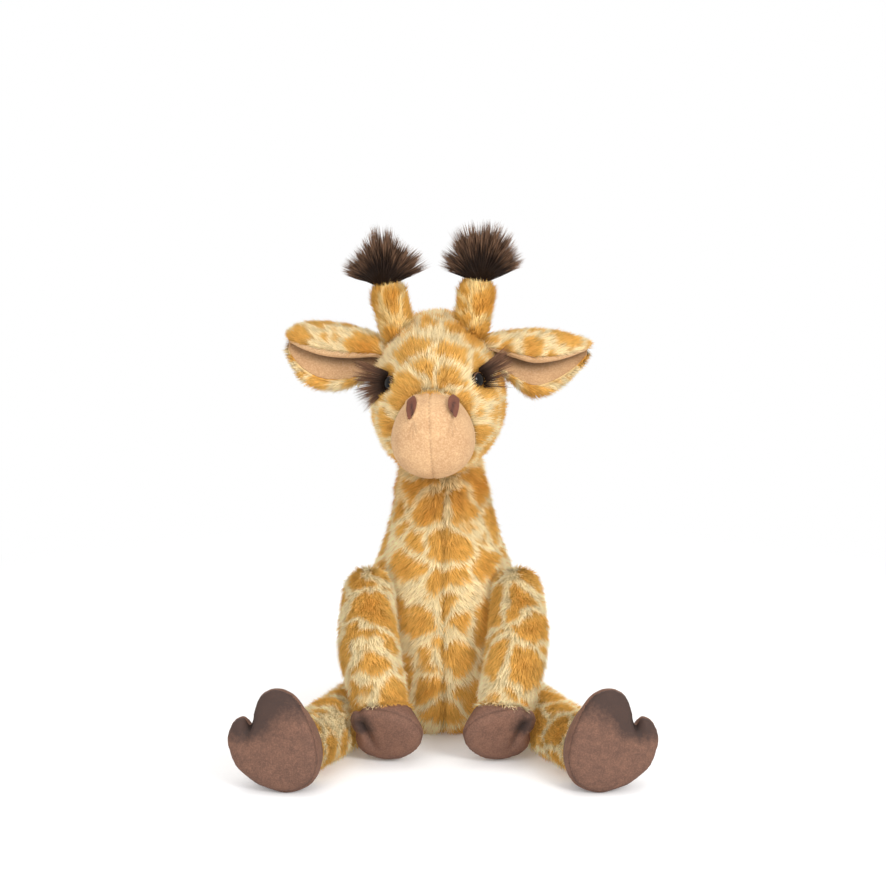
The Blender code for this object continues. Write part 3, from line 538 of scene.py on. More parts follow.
# the roots, and the way that each strand leans there
lay_way = noted_before("lay", "FLOAT_VECTOR")
skin_in = noted(given["Skin"], "facing", "FLOAT_VECTOR", "POINT", begin.node("GeometryNodeInputNormal"))
roots = begin.node(
    "GeometryNodeDistributePointsOnFaces",
    {"distribute_method": "RANDOM"},
    {"Mesh": skin_in, "Density": given["Density"] * noted_before("cover"), "Seed": given["Seed"]},
)
upright = noted_before("facing", "FLOAT_VECTOR")
toss = chance((-1.0,) * 3, (1.0,) * 3, given["Seed"], 0, "FLOAT_VECTOR", (0, 1))
fineness = begin.sum("DIVIDE", 1.0, given["Lock"])
swirl = begin.node("ShaderNodeTexNoise", {}, {"Vector": where, "Scale": fineness, "Detail": 2.0}, 1)
swirl = begin.vector("SUBTRACT", swirl, (0.5,) * 3)
leaning = begin.vector("ADD", begin.vector("SCALE", upright, given["Stand"]), lay_way)
leaning = begin.vector("ADD", leaning, begin.vector("SCALE", toss, given["Scatter"]))
leaning = begin.vector("ADD", leaning, begin.vector("SCALE", swirl, given["Wave"]))
align = "FunctionNodeAlignRotationToVector"
turned = begin.node(align, {"axis": "Z"}, {"Vector": leaning})
turned = begin.node(align, {"axis": "X", "pivot_axis": "Z"}, {"Rotation": turned, "Vector": lay_way})
size_share = chance(0.65, 1.15, given["Seed"] + 7.0)
strands = begin.node(
    "GeometryNodeInstanceOnPoints",
    {},
    {"Points": roots, "Instance": strand, "Rotation": turned, "Scale": size_share * noted_before("pile")},
)
strands = noted(strands, "root", "FLOAT_VECTOR", "INSTANCE", where)
strands = noted(strands, "shade", "FLOAT", "INSTANCE", chance(0.0, 1.0, given["Seed"] + 13.0))
strands = begin.node("GeometryNodeRealizeInstances", {}, {"Geometry": strands})
strands = begin.node("GeometryNodeSetMaterial", {}, {"Geometry": strands, "Material": given["Finish"]})
pile_out = pile_tree.nodes.new("NodeGroupOutput")
pile_tree.links.new(strands.socket, pile_out.inputs[0])


def grown(name, skin, body, slot, finish, **sizes):
    """A coat of strands on a combed skin, as one plain mesh."""
    coat = placed(name, skin.data.copy())
    growth = coat.modifiers.new("pile", "NODES")
    growth.node_group = pile_tree
    usual = {"Length": 0.0072, "Width": 0.00052, "Density": 2.5e6, "Stand": 0.55, "Scatter": 0.30,
             "Wave": 1.1, "Lock": 0.0055, "Bend": 0.0, "Seed": 1, "Joints": 1, "Finish": finish}
    for label, value in {**usual, **sizes}.items():
        growth[pile_inputs[label].identifier] = value
    baked(coat)
    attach(coat, body)
    return coat


def clad(thing, finish, body, slot, fill, *nodes):
    """Dresses a stuffed skin, fixes it to its body and hides the frame's pieces that it takes the place of.
    """
    thing.data.materials.clear()
    thing.data.materials.append(finish)
    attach(thing, body)
    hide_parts(*nodes)
    return thing


torso_nodes = ("torso_front_left", "torso_front_right", "torso_back")
torso_line = [(0.0, 0.0, z) for z in np.linspace(0.045, 0.150, 36)]
torso_surface = surface_of(*torso_nodes, "torso_stuffing")
torso_skin = felt("body_skin", torso_surface, torso_line, reach=0.085, around=96, cap=18)
others = surface_of_bodies("arm_left", "arm_right", "leg_left", "leg_right", "tail", "head")
stuffed(torso_skin, others, voxel=0.0035, swell=0.0038)


def groove(points, out, distance, width, depth):
    """Pulls a surface in along a line, given how far each point is from it."""
    return points - out * (depth * bell(distance, width))[:, None]


# the neck draws in under the head, more on the left and behind
at = places(torso_skin.data)
high = ramp(at[:, 2], 0.122, 0.028)[:, None] ** 2
drawn_in = np.where(at[:, 0] > 0, 0.20, 0.12), np.where(at[:, 1] > 0, 0.22, 0.12)
at[:, :2] *= 1.0 - high * np.stack(drawn_in, axis=1)
put(torso_skin.data, at)
at, out = points_of(torso_skin)
parting_depth = 0.0020 * ramp(at[:, 2], 0.012, 0.02)


def off_parting(at):
    """How far points are from the seam down the front, which wanders a little."""
    wander = 0.0007 * np.sin(at[:, 2] / 0.0085) + 0.0005 * np.sin(at[:, 2] / 0.0031)
    return np.where(at[:, 1] < 0, at[:, 0] - wander, 1.0)


off = np.where(out[:, 1] < 0, off_parting(at), 1.0)
put(torso_skin.data, groove(at, out, off, width=0.0025, depth=parting_depth))


def body_lay(at):
    """Down, and in front also away from the parting."""
    sideways = np.tanh(at[:, 0] / 0.007) * (0.25 + 0.75 * ramp(-at[:, 1], 0.0, 0.03))
    return np.stack([0.55 * sideways, np.zeros(len(at)), -np.ones(len(at))], axis=1)


at = places(torso_skin.data)
free = ramp(away_from(others, at), 0.0003, 0.0008)
parting = 1.0 - 0.45 * bell(off_parting(at), 0.0014)
collar = ramp(at[:, 2], 0.140, 0.006)
left_half, front_half = at[:, 0] >= 0, at[:, 1] < -0.008
for end, ended in (("front", front_half), ("back", ~front_half)):
    for side, sided in (("left", left_half), ("right", ~left_half)):
        cover = free * parting * (ended & sided) * (at[:, 2] > 0.002)
        comb(torso_skin, body_lay, cover, lift=0.8 * collar)
        grown(f"body_pile_{end}_{side}", torso_skin, "torso", "patched_pile", body_strand, Seed=11)
clad(torso_skin, body_cloth, "torso", "patched_pile", 0.85, *torso_nodes, "torso_stuffing")


# ---------------------------------------------------------------------------
# The head: a stuffed ball of the same plush, two sides and a gusset, with
# smaller and paler patches. It nods on the neck, and its pile lies back from
# the nose.

nod = Vector((0.0, 0.0, 0.150))
head_turn = Euler((0.0, math.radians(-3.0), math.radians(-4.0)))


def head_way(x, y, z):
    """A direction, given in the head's own axes."""
    return Vector((x, y, z)) @ head_turn.to_matrix().transposed()


def on_head(x, y, z):
    """A place, given in the head's own axes from where it nods."""
    return nod + head_way(x, y, z)


# the head's patches are paler and a little smaller
golds = dye(234, 183, 99), dye(216, 152, 66), dye(248, 227, 182)
head_strand, head_cloth = coat_finishes("head", 0.0200, 0.085, golds, root_shades=(0.65, 0.62))

head_nodes = ("head_side_left", "head_side_right", "head_gusset")
head_form = surface_of(*head_nodes, "head_stuffing")
head_middle = on_head(0.0, 0.0, 0.0545)
head_right, head_ahead, head_up = head_way(1, 0, 0), head_way(0, -1, 0), head_way(0, 0, 1)
head_skin = felt("head_skin", head_form, [head_middle], head_ahead, reach=0.09, around=96, cap=28, ease=4)
torso_shell, head_shell = surface_of(*torso_nodes), surface_of(*head_nodes)
muzzle_nodes, nostril_nodes = ("muzzle_left", "muzzle_right"), ("nostril_left", "nostril_right")
muzzle_surface = surface_of(*muzzle_nodes, *nostril_nodes)
eyes_surface = surface_of("eye_left", "eye_right")
stuffed(head_skin, surface_of(*muzzle_nodes, *torso_nodes), voxel=0.003, swell=0.0010)

# the eyes' shanks pull the face in around them
at, out = points_of(head_skin)
put(head_skin.data, groove(at, out, away_from(eyes_surface, at), width=0.0034, depth=0.0016))

nose = np.array(on_head(0.0, -0.090, 0.043))
at = places(head_skin.data)
neck_near = away_from(torso_shell, at)
eyes_near = away_from(eyes_surface, at)
lashes_near = away_from(surface_of("eyelash_left", "eyelash_right"), at)
near_others = np.minimum(away_from(muzzle_surface, at), eyes_near - 0.0004)
# painted shade on the cloth where the face meets the muzzle, the eyes and the neck
written(head_skin.data, "seam_and_shade", bell(np.minimum(near_others, neck_near), 0.0016))
free = ramp(near_others, 0.0004, 0.0010) * ramp(neck_near, 0.0004, 0.001)
free = free * np.maximum(ramp(lashes_near, 0.0008, 0.001), 0.1)
short = 0.55 + 0.45 * ramp(away_from(muzzle_surface, at), 0.001, 0.010)
short = short * (0.45 + 0.55 * ramp(eyes_near, 0.001, 0.006))
for half, share in (("left", at[:, 0] >= 0), ("right", at[:, 0] < 0)):
    comb(head_skin, lambda at: at - nose, free * share, short)
    grown(
        "head_pile_" + half, head_skin, "head", "patched_pile", head_strand,
        Seed=21, Stand=0.62, Density=2.6e6,
    )
clad(head_skin, head_cloth, "head", "patched_pile", 0.85, *head_nodes, "head_stuffing")


# ---------------------------------------------------------------------------
# The muzzle: two halves of short peach velour, sewn together down the middle
# and on to the face. The nostrils are small brown velour drops sewn on it.


def velour_finish(name, colours, sheen, nap, crush, crush_share, lobe_shade=None):
    """Short velour: a fine nap, brushed darker and paler in soft marks."""
    colour, dark, pale = colours
    made, shader, start = finish_of(name, sheen=sheen, sheen_tint=pale)
    place = start.here()
    brushed = start.grain(place, crush, 4.0, 0.65).step(0.34, 0.68)
    fibre = start.grain(place, nap, 3.0, 0.75)
    tone = start.between((1.0 - brushed) * crush_share, colour, dark)
    tone = start.between(fibre.step(0.44, 0.68) * 0.36, tone, pale)
    tone = start.between((1.0 - fibre.step(0.30, 0.54)) * 0.32, tone, dark)
    # painted shade on the hoofs' lobes, broken into soft patches
    if lobe_shade:
        patch = start.attribute("lobe_shade", 2) + (start.grain(place, 0.003, 3.0, 0.7) - 0.5) * 0.7
        tone = start.between(patch.step(0.25, 0.95) * 0.85, tone, lobe_shade)
    # darker along seams and stitches, and painted shade in creases, slits and folds
    deep = 1.0 - start.attribute("seam_and_shade", 2) * 0.45
    lead(start.vector("SCALE", tone, deep), shader, "Base Color")
    lead(fibre * 0.25 + 0.70, shader, "Roughness")
    relief = {"Height": fibre + brushed * 0.5, "Strength": 0.35, "Distance": 0.0004}
    lead(start.node("ShaderNodeBump", {}, relief), shader, "Normal")
    return made


peaches = dye(194, 155, 112), dye(158, 116, 77), dye(224, 191, 153)
peach = velour_finish("peach_velour", peaches, 0.1, nap=0.0011, crush=0.012, crush_share=0.45)
muzzle_middle = on_head(0.0, -0.060, 0.037)
muzzle = felt("muzzle", surface_of(*muzzle_nodes), [muzzle_middle], head_ahead, reach=0.05, around=96, cap=28)
beside_muzzle = surface_of(*head_nodes, "head_stuffing", *nostril_nodes)
stuffed(muzzle, beside_muzzle, voxel=0.0020, swell=0.0009, inset=0.0006, finer=2)


def in_head(points):
    """World points in the head's own axes."""
    return (points - np.array(nod)) @ np.array(head_turn.to_matrix())


def off_line(points, a, b):
    """How far points are from the straight line between two others."""
    a, b = np.array(a), np.array(b)
    share = np.clip((points - a) @ (b - a) / ((b - a) @ (b - a)), 0.0, 1.0)
    return np.linalg.norm(points - a - share[:, None] * (b - a), axis=1)


at, out = points_of(muzzle)
own = in_head(at)
flat_top = ramp(own[:, 2], 0.0535, 0.008) * ramp(0.0140 - np.abs(own[:, 0]), 0.0, 0.006)
at = at - np.array(head_up) * (flat_top * 0.0014)[:, None]
seam_off = own[:, 0]
shaped = groove(at, out, seam_off, width=0.0008, depth=0.0006)
# a soft lip around each nostril, and creases that fan down from it
nostril_shift = 0.0018
nostril_off = away_from(surface_of(*nostril_nodes), at - np.array(head_right) * nostril_shift)
shaped = shaped + out * (0.0009 * bell(nostril_off - 0.0012, 0.0010))[:, None]
pinch = np.ones(len(at))
for side, sign in (("left", 1.0), ("right", -1.0)):
    low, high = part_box("nostril_" + side)
    drop = in_head(np.array([(low + high) / 2]))[0]
    drop = drop + np.array((nostril_shift - 0.0012 * sign, -0.001, -0.0060))
    for spread, length in ((-0.0016, 0.0075), (0.0006, 0.0100), (0.0026, 0.0070)):
        crease = (drop[0], drop[2]), (drop[0] + spread * sign, drop[2] - length)
        pinch = np.minimum(pinch, off_line(own[:, (0, 2)], *crease))
pinch = np.where(own[:, 1] < -0.055, pinch, 1.0)
shaped = groove(shaped, out, pinch, width=0.0006, depth=0.0004)
put(muzzle.data, shaped)
stitch_length = 0.0022
stitched = bell(seam_off, 0.00045) * (0.35 + 0.30 * np.cos(own[:, 2] / stitch_length * math.tau))
# stitches down the middle seam, and painted shade in the creases that fan down from the nostrils
written(muzzle.data, "seam_and_shade", np.maximum(stitched, 0.35 * bell(pinch, 0.0004)))
clad(muzzle, peach, "head", "peach_velour", 0.9, *muzzle_nodes)


def refined(name, node, finish, body):
    """One of the frame's own forms, joined up and rounded finer, as a piece of the scene."""
    copy = placed(name, frame["nodes"][node].data.copy())
    bm = bmesh.new()
    bm.from_mesh(copy.data)
    bmesh.ops.remove_doubles(bm, verts=bm.verts, dist=0.00002)
    bmesh.ops.recalc_face_normals(bm, faces=bm.faces)
    flattish = dict(angle_face_threshold=0.6, angle_shape_threshold=0.9)
    bmesh.ops.join_triangles(bm, faces=bm.faces, **flattish)
    bm.to_mesh(copy.data)
    bm.free()
    copy.data.materials.clear()
    copy.data.materials.append(finish)
    rounded(copy, 2)
    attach(copy, body)
    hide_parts(node)
    return copy


nostril_browns = dye(108, 60, 41), dye(76, 40, 27), dye(132, 82, 58)
nostril_brown = velour_finish("nostril_velour", nostril_browns, 0.0, nap=0.0003, crush=0.004, crush_share=0.3)
for side, sign in (("left", 1.0), ("right", -1.0)):
    drop = refined("nose_" + side, "nostril_" + side, nostril_brown, "head")
    at, out = points_of(drop)
    own = in_head(at)
    middle = (own.max(axis=0) + own.min(axis=0)) / 2
    # fuller and wider than its solid, with a slit down the middle
    ahead = np.clip(own[:, 1] - middle[1] + 0.001, 0.0, 1.0) * 0.45
    at = at + np.outer(ahead, np.array(head_ahead))
    slit_ends = ((0.0002, 0.0022), (-0.0010, -0.0048))
    slit_ends = [(middle[0] + across * sign, middle[2] + up) for across, up in slit_ends]
    slit = off_line(own[:, (0, 2)], *slit_ends)
    fuller = at + np.outer((own[:, 0] - middle[0]) * 0.24, np.array(head_right))
    fuller = fuller + np.array(head_ahead) * 0.0005
    fuller = fuller + np.array(head_right) * nostril_shift
    put(drop.data, groove(fuller, out, slit, width=0.0007, depth=0.0006))
    # painted shade in the slit
    written(drop.data, "seam_and_shade", 1.6 * bell(slit, 0.0006))


# ---------------------------------------------------------------------------
# The eyes: black plastic domes on shanks, pushed through the cloth and locked
# by a washer behind it, each with a fan of long brown lashes sewn beside it.

eye_finish, eye_shader, start = finish_of("eye_plastic")
eye_shader.inputs["Specular IOR Level"].default_value = 0.2
smear = start.grain(start.here(), 0.002)
rim = start.attribute("iris", 2)
iris = rim.step(0.77, 0.82) * (1.0 - rim.step(0.92, 0.98))
black = start.between(smear, dye(12, 8, 6), dye(5, 4, 4))
lead(start.between(iris, black, dye(84, 58, 38)), eye_shader, "Base Color")
lead(smear * 0.06 + 0.04, eye_shader, "Roughness")


def dark_finish(name, root_tone, tip_tone, fade):
    """Long dark pile that fades to lighter tips."""
    made, shader, start = finish_of(name)
    shader.inputs["Specular IOR Level"].default_value = fibre_gloss
    own_tone = start.attribute("shade", 2)
    tip = start.attribute("along", 2).step(*fade) * (0.15 + own_tone * 0.85)
    lead(start.between(tip, root_tone, tip_tone), shader, "Base Color")
    lead(own_tone * 0.2 + 0.45, shader, "Roughness")
    return made


dark_pile = dark_finish("dark_pile", dye(34, 21, 13), dye(176, 134, 104), (0.45, 1.1))
lash_pile = dark_finish("lash_pile", dye(40, 26, 18), dye(150, 108, 82), (0.05, 0.85))

dome_depth = 0.0042
# the band that the lashes grow from, round the outer side of each eye
band_inner, band_outer, band_rise, band_first, band_sweep, band_steps = 0.0048, 0.0068, 0.0060, 72, 130, 24
# where the lashes point at the top and the bottom of the band, in degrees, and how thick they stay
lash_ends = {"left": (31.0, -22.0, 0.12), "right": (18.0, -66.0, 1.0)}
for side, sign in (("left", 1.0), ("right", -1.0)):
    dome = refined("eye_dome_" + side, "eye_" + side, eye_finish, "head")
    axis = head_way(sign * 0.72, -0.66, 0.18).normalized()
    # the dome's own middle, from the points furthest out
    spots = places(frame["nodes"]["eye_" + side].data)
    reach_out = spots @ np.array(axis)
    centre = Vector(spots[reach_out > reach_out.max() - dome_depth].mean(axis=0))
    spread_out = places(dome.data) - np.array(centre)
    spread_out = spread_out - np.outer(spread_out @ np.array(axis), np.array(axis))
    spread_out = np.linalg.norm(spread_out, axis=1)
    written(dome.data, "iris", spread_out / spread_out.max())
    up = (head_up - axis * axis.dot(head_up)).normalized()
    beside = up.cross(axis) * -sign
    if beside.dot(head_way(sign, 0.4, 0)) < 0:
        beside = -beside
    bm = bmesh.new()
    rows = []
    for step in range(band_steps + 1):
        turn = math.radians(band_first - band_sweep * step / band_steps)
        spoke = beside * math.cos(turn) + up * math.sin(turn)
        rows.append([bm.verts.new(centre + spoke * r - axis * 0.0002) for r in (band_inner, band_outer)])
    for a, b in zip(rows, rows[1:]):
        bm.faces.new((a[0], a[1], b[1], b[0]))
    band = meshed("lash_root_" + side, bm)
    if outward(band.data).mean(axis=0) @ np.array(axis) < 0:
        band.data.flip_normals()
    top_turn, low_turn, low_cover = lash_ends[side]

    def lash_rise(at):
        return (at - np.array(centre)) @ np.array(up) / band_rise

    def lash_lay(at):
        """Outwards and up, gathered into a few locks."""
        height = ramp(lash_rise(at), -0.8, 1.6) ** 0.6
        locked = 0.5 * height + 0.5 * np.round(height * 4.0) / 4.0
        turn = np.radians(low_turn + (top_turn - low_turn) * locked)[:, None]
        return np.array(beside) * np.cos(turn) + np.array(up) * np.sin(turn)

    rising = np.clip(lash_rise(places(band.data)), -1.0, 1.0)
    cover = low_cover + (1.0 - low_cover) * np.clip(rising * 1.5 + 0.4, 0.0, 1.0)
    comb(band, lash_lay, cover, 1.0 + 0.12 * rising)
    lashes = grown(
        "lashes_" + side, band, "head", "dark_pile", lash_pile,
        Length=0.0215, Width=0.00050, Density=20.0e6, Stand=0.65, Scatter=0.08,
        Wave=0.34, Lock=0.002, Bend=0.04, Seed=31, Joints=3,
    )
    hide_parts("eyelash_" + side)
    bpy.data.objects.remove(band)


# ---------------------------------------------------------------------------
# The ears: cupped leaves of plush, lined with peach velour and sewn to the
# sides of the head by their narrow roots. The pile fringes their rims.

# where each ear is sewn on, and by how many degrees it rises from there
ear_roots = {
    "left": (Vector((0.038686, -0.004710, 0.225140)), -6.0),
    "right": (Vector((-0.046588, 0.001253, 0.220660)), 10.0),
}
ear_half_height, ear_inset = 0.0185, 0.0060
# each cross-section, as forward and up shares of the half height: the lining
# from the lower seam into the fold and round the rolled upper lip ...
lining_section = (
    (0.10, -0.86), (0.02, -0.78), (-0.14, -0.58), (-0.30, -0.34), (-0.48, -0.08), (-0.58, 0.08),
    (-0.50, 0.17), (-0.20, 0.15), (0.14, 0.08), (0.36, 0.08), (0.46, 0.17), (0.44, 0.26),
)
# ... and the plush from there over the front and round the back to the lower seam
back_section = (
    (0.45, 0.26), (0.43, 0.42), (0.36, 0.62), (0.22, 0.82), (-0.02, 0.97), (-0.30, 0.97), (-0.56, 0.80),
    (-0.74, 0.46), (-0.80, 0.10), (-0.72, -0.26), (-0.50, -0.62), (-0.22, -0.90), (0.06, -1.00),
    (0.18, -0.95), (0.12, -0.86),
)
# each station, as shares: along the ear, the middle's rise, the half height and the depth
ear_shares = {
    "right": (
        (0.0, 0.20, 0.46, 0.50), (0.16, 0.22, 0.61, 0.75), (0.37, 0.10, 0.85, 0.98), (0.62, 0.06, 0.93, 0.95),
        (0.82, 0.16, 0.76, 0.72), (0.93, 0.28, 0.50, 0.50), (0.985, 0.34, 0.28, 0.30),
    ),
    "left": (
        (0.0, 0.20, 0.36, 0.50), (0.13, 0.13, 0.50, 0.70), (0.29, 0.00, 0.72, 0.92), (0.48, -0.13, 0.91, 1.0),
        (0.64, -0.06, 0.84, 0.90), (0.79, 0.08, 0.64, 0.70), (0.90, 0.24, 0.44, 0.50),
        (0.985, 0.38, 0.20, 0.28),
    ),
}


def ear_sheet(name, shares, section, root, along, up, forward, wall):
    """A thin closed wall along one side of the ear's cross-sections, from root to tip."""
    first, last = [np.array(through([row[part : part + 3] for row in shares], 4)) for part in (0, 1)]
    stations = np.column_stack([first, last[:, 2]])
    curve = np.array([p[:2] for p in through([Vector((*p, 0.0)) for p in section], 3)])
    way = np.gradient(curve, axis=0)
    into = np.stack([-way[:, 1], way[:, 0]], axis=1)
    into /= np.linalg.norm(into, axis=1, keepdims=True)
    loop = np.concatenate([curve, (curve + into * wall)[::-1]])
    bm = bmesh.new()
    rings = []
    for share, mid, height, depth in stations:
        middle = root + along * (ear_length * share) + up * (mid * ear_half_height)
        ring = []
        for ahead, rise in loop:
            corner = middle + forward * (ahead * depth * ear_half_height)
            ring.append(bm.verts.new(corner + up * (rise * height * ear_half_height)))
        rings.append(ring)
    for low, high in zip(rings, rings[1:]):
        for k in range(len(low)):
            bm.faces.new((low[k - 1], low[k], high[k], high[k - 1]))
    bm.faces.new(rings[0])
    bm.faces.new(rings[-1])
    bmesh.ops.triangulate(bm, faces=[face for face in bm.faces if len(face.verts) > 4])
    bmesh.ops.recalc_face_normals(bm, faces=bm.faces)
    return rounded(meshed(name, bm), 1)


for side, sign in (("left", 1.0), ("right", -1.0)):
    body = "ear_" + side
    root, rise = ear_roots[side]
    lift = math.radians(rise)
    along_ear = head_way(sign * math.cos(lift), 0.0, math.sin(lift))
    up_ear = head_way(-sign * math.sin(lift), 0.0, math.cos(lift))
    ear_back_at = places(frame["nodes"]["ear_back_" + side].data)
    reach_along = (ear_back_at - np.array(root)) @ np.array(along_ear)
    root = root + along_ear * (reach_along.min() - ear_inset)
    ear_length = reach_along.max() - reach_along.min() + ear_inset
    shares = ear_shares[side]
    ways = (root, along_ear, up_ear, head_ahead)
    back = ear_sheet("ear_back_skin_" + side, shares, back_section, *ways, -0.09)
    lining = ear_sheet("ear_lining_velour_" + side, shares, lining_section, *ways, -0.07)

    def in_ear(at):
        """How far points are along the ear, and ahead of and above its middle line, as shares."""
        from_root = at - np.array(root)
        along_of = from_root @ np.array(along_ear) / ear_length
        middle = np.interp(along_of, [row[0] for row in shares], [row[1] for row in shares])
        ahead_of = from_root @ np.array(head_ahead) / ear_half_height
        return along_of, ahead_of, from_root @ np.array(up_ear) / ear_half_height - middle

    at, out = points_of(back)
    along_of, ahead_of, own_up = in_ear(at)
    facing = (ahead_of + 0.2) * (out @ np.array(head_ahead)) + own_up * (out @ np.array(up_ear))
    free = (facing > 0.0) * ramp(away_from(head_shell, at), 0.0004, 0.001)
    low_rim = bell(own_up + 0.95, 0.22)
    aside = np.sign(own_up)[:, None] * np.array(up_ear) * 0.45
    comb(back, lambda at: np.tile(np.array(along_ear), (len(at), 1)) + aside, free, 0.85 + 0.45 * low_rim)
    grown("ear_pile_" + side, back, body, "patched_pile", head_strand, Seed=41, Length=0.0062, Density=3.2e6)
    clad(back, head_cloth, body, "patched_pile", 0.2, "ear_back_" + side)
    along_of, ahead_of, own_up = in_ear(places(lining.data))
    # painted shade in the fold of the lining, deepest near the root
    fold_shade = ramp(0.14 - ahead_of, 0.0, 0.45) * ramp(own_up, -0.62, 0.55)
    written(lining.data, "seam_and_shade", fold_shade * (1.75 - 0.95 * along_of))
    clad(lining, peach, body, "peach_velour", 0.2, "ear_lining_" + side)


# ---------------------------------------------------------------------------
# The horns: two short stuffed stalks of deeper gold plush with faint patches,
# each ending in a tuft of long dark pile that falls into locks.

stalk_golds = dye(226, 170, 84), dye(208, 142, 54), dye(244, 212, 148)
horn_strand, horn_cloth = coat_finishes("horn", 0.0190, 0.06, stalk_golds, root_shades=(0.66, 0.55))

# how far each tuft reaches, as degrees round from the right and shares of its length
tuft_fans = {
    "right": (
        (0, 0.80), (22, 0.92), (42, 0.72), (62, 0.66), (76, 0.92), (92, 1.04),
        (104, 0.94), (116, 0.66), (136, 0.62), (156, 0.64), (180, 0.62),
    ),
    "left": (
        (0, 0.62), (16, 0.70), (36, 0.72), (52, 0.90), (70, 1.02), (90, 1.0),
        (112, 0.94), (128, 0.72), (150, 0.70), (166, 0.80), (180, 0.76),
    ),
}
lock_turn = 15.0


def ends_of(node, way, share=0.12):
    """The middles of a form's two ends along a way."""
    spots = places(frame["nodes"][node].data)
    reach_along = spots @ np.array(way)
    low, high = reach_along.min(), reach_along.max()
    band = (high - low) * share
    ends = spots[reach_along < low + band], spots[reach_along > high - band]
    return [Vector(end.mean(axis=0)) for end in ends]


for side in ("left", "right"):
    node = "horn_skin_" + side
    foot, top = ends_of(node, head_up)
    stalk = [foot.lerp(top, share) for share in np.linspace(0.18, 0.85, 14)]
    horn_form = surface_of(node, "horn_stuffing_" + side)
    horn = felt("horn_" + side, horn_form, stalk, reach=0.016, around=40, cap=8)
    beside_horn = surface_of(*head_nodes, "horn_tuft_" + side)
    stuffed(horn, beside_horn, voxel=0.0022, swell=0.0007, inset=0.0005)
    climb = np.array((top - foot).normalized())
    at = places(horn.data)
    free = ramp(away_from(head_shell, at), 0.0004, 0.001)
    comb(horn, lambda at: np.tile(climb, (len(at), 1)), free)
    grown("horn_pile_" + side, horn, "head", "patched_pile", horn_strand, Seed=51, Width=0.0006)
    clad(horn, horn_cloth, "head", "patched_pile", 0.8, node, "horn_stuffing_" + side)
    tuft_node = "horn_tuft_" + side
    low_end, high_end = ends_of(tuft_node, head_up)
    seat = low_end.lerp(high_end, 0.12)
    tuft_line = [low_end.lerp(high_end, share) for share in (0.25, 0.4, 0.55)]
    ball = felt("tuft_" + side, surface_of(tuft_node), tuft_line, reach=0.03, around=40, cap=10)
    at = places(ball.data)
    put(ball.data, np.array(seat) + (at - np.array(seat)) * np.array((0.46, 0.60, 0.30)))
    middle_seat = np.array(seat - head_up * 0.006)

    def tuft_turn(at):
        """Degrees round from the right, spread out and gathered into locks."""
        ways = at - middle_seat
        turn = np.degrees(np.arctan2(ways @ np.array(head_up), ways @ np.array(head_right)))
        turn = np.clip(90.0 + (turn - 90.0) * 1.5, 2.0, 178.0)
        return 0.25 * turn + 0.75 * (np.floor(turn / lock_turn) + 0.5) * lock_turn

    def tuft_lay(at):
        turn = np.radians(tuft_turn(at))[:, None]
        ahead = ((at - middle_seat) @ np.array(head_ahead) / 0.010)[:, None]
        fan = np.array(head_right) * np.cos(turn) + np.array(head_up) * np.sin(turn)
        return fan + np.array(head_ahead) * ahead * 0.45

    at = places(ball.data)
    height = (at - np.array(seat)) @ np.array(head_up)
    reach_share = np.interp(tuft_turn(at), *zip(*tuft_fans[side]))
    comb(ball, tuft_lay, ramp(height, -0.0005, 0.002), reach_share, pressed=0.0)
    grown(
        "tuft_pile_" + side, ball, "head", "dark_pile", dark_pile,
        Length=0.0275, Width=0.00105, Density=4.2e6, Stand=0.0, Scatter=0.12,
        Wave=0.80, Lock=0.0034, Bend=0.08, Seed=61, Joints=4,
    )
    clad(baked(ball), dark_pile, "head", "dark_pile", 0.6, tuft_node)


# ---------------------------------------------------------------------------
# The arms and legs: stuffed tubes of patched plush that swing where they are
# sewn to the body. Each ends in a cloven hoof of brown velour with a domed
# sole, and the pile of the cuff falls over its edge.

hoof_browns = dye(110, 76, 59), dye(70, 46, 36), dye(138, 101, 82)
# the last colour is the painted shade on the lobes
hoof_velour = velour_finish(
    "hoof_velour", hoof_browns, 0.03, nap=0.0009, crush=0.007, crush_share=0.42, lobe_shade=dye(42, 27, 22)
)
limb_strand, limb_cloth = coat_finishes("limb", 0.0245, 0.078, caramels, root_shades=(0.62, 0.60))

# the left ones: the middle line, and the hoof's middle, the way that it faces
# and its own upward, its size, how much fuller it is, and where the crease of
# its cleft runs out, as shares of its size
limbs = {
    "arm": {
        "path": [(0.0445, -0.0336, 0.0866), (0.0440, -0.0640, 0.0601), (0.0355, -0.0880, 0.0296)],
        "hoof": ("hand", (0.0345, -0.0990, 0.0181), (0.10, -0.80, -0.30), (0.22, 0.0, 0.97)),
        "shape": (0.0205, 0.0232, 0.0, (-0.28, -0.40)),
    },
    "leg": {
        "path": [(0.0515, -0.0425, 0.0155), (0.0680, -0.0840, 0.0152), (0.0830, -0.1230, 0.0175)],
        "hoof": ("foot", (0.0944, -0.1480, 0.0272), (0.17, -0.97, 0.17), (0.0, 0.0, 1.0)),
        "shape": (0.0282, 0.0282, 0.0045, (-0.56, -0.16)),
    },
}
cleft_across = 0.46  # how far inward the cleft sits, as a share of half the hoof
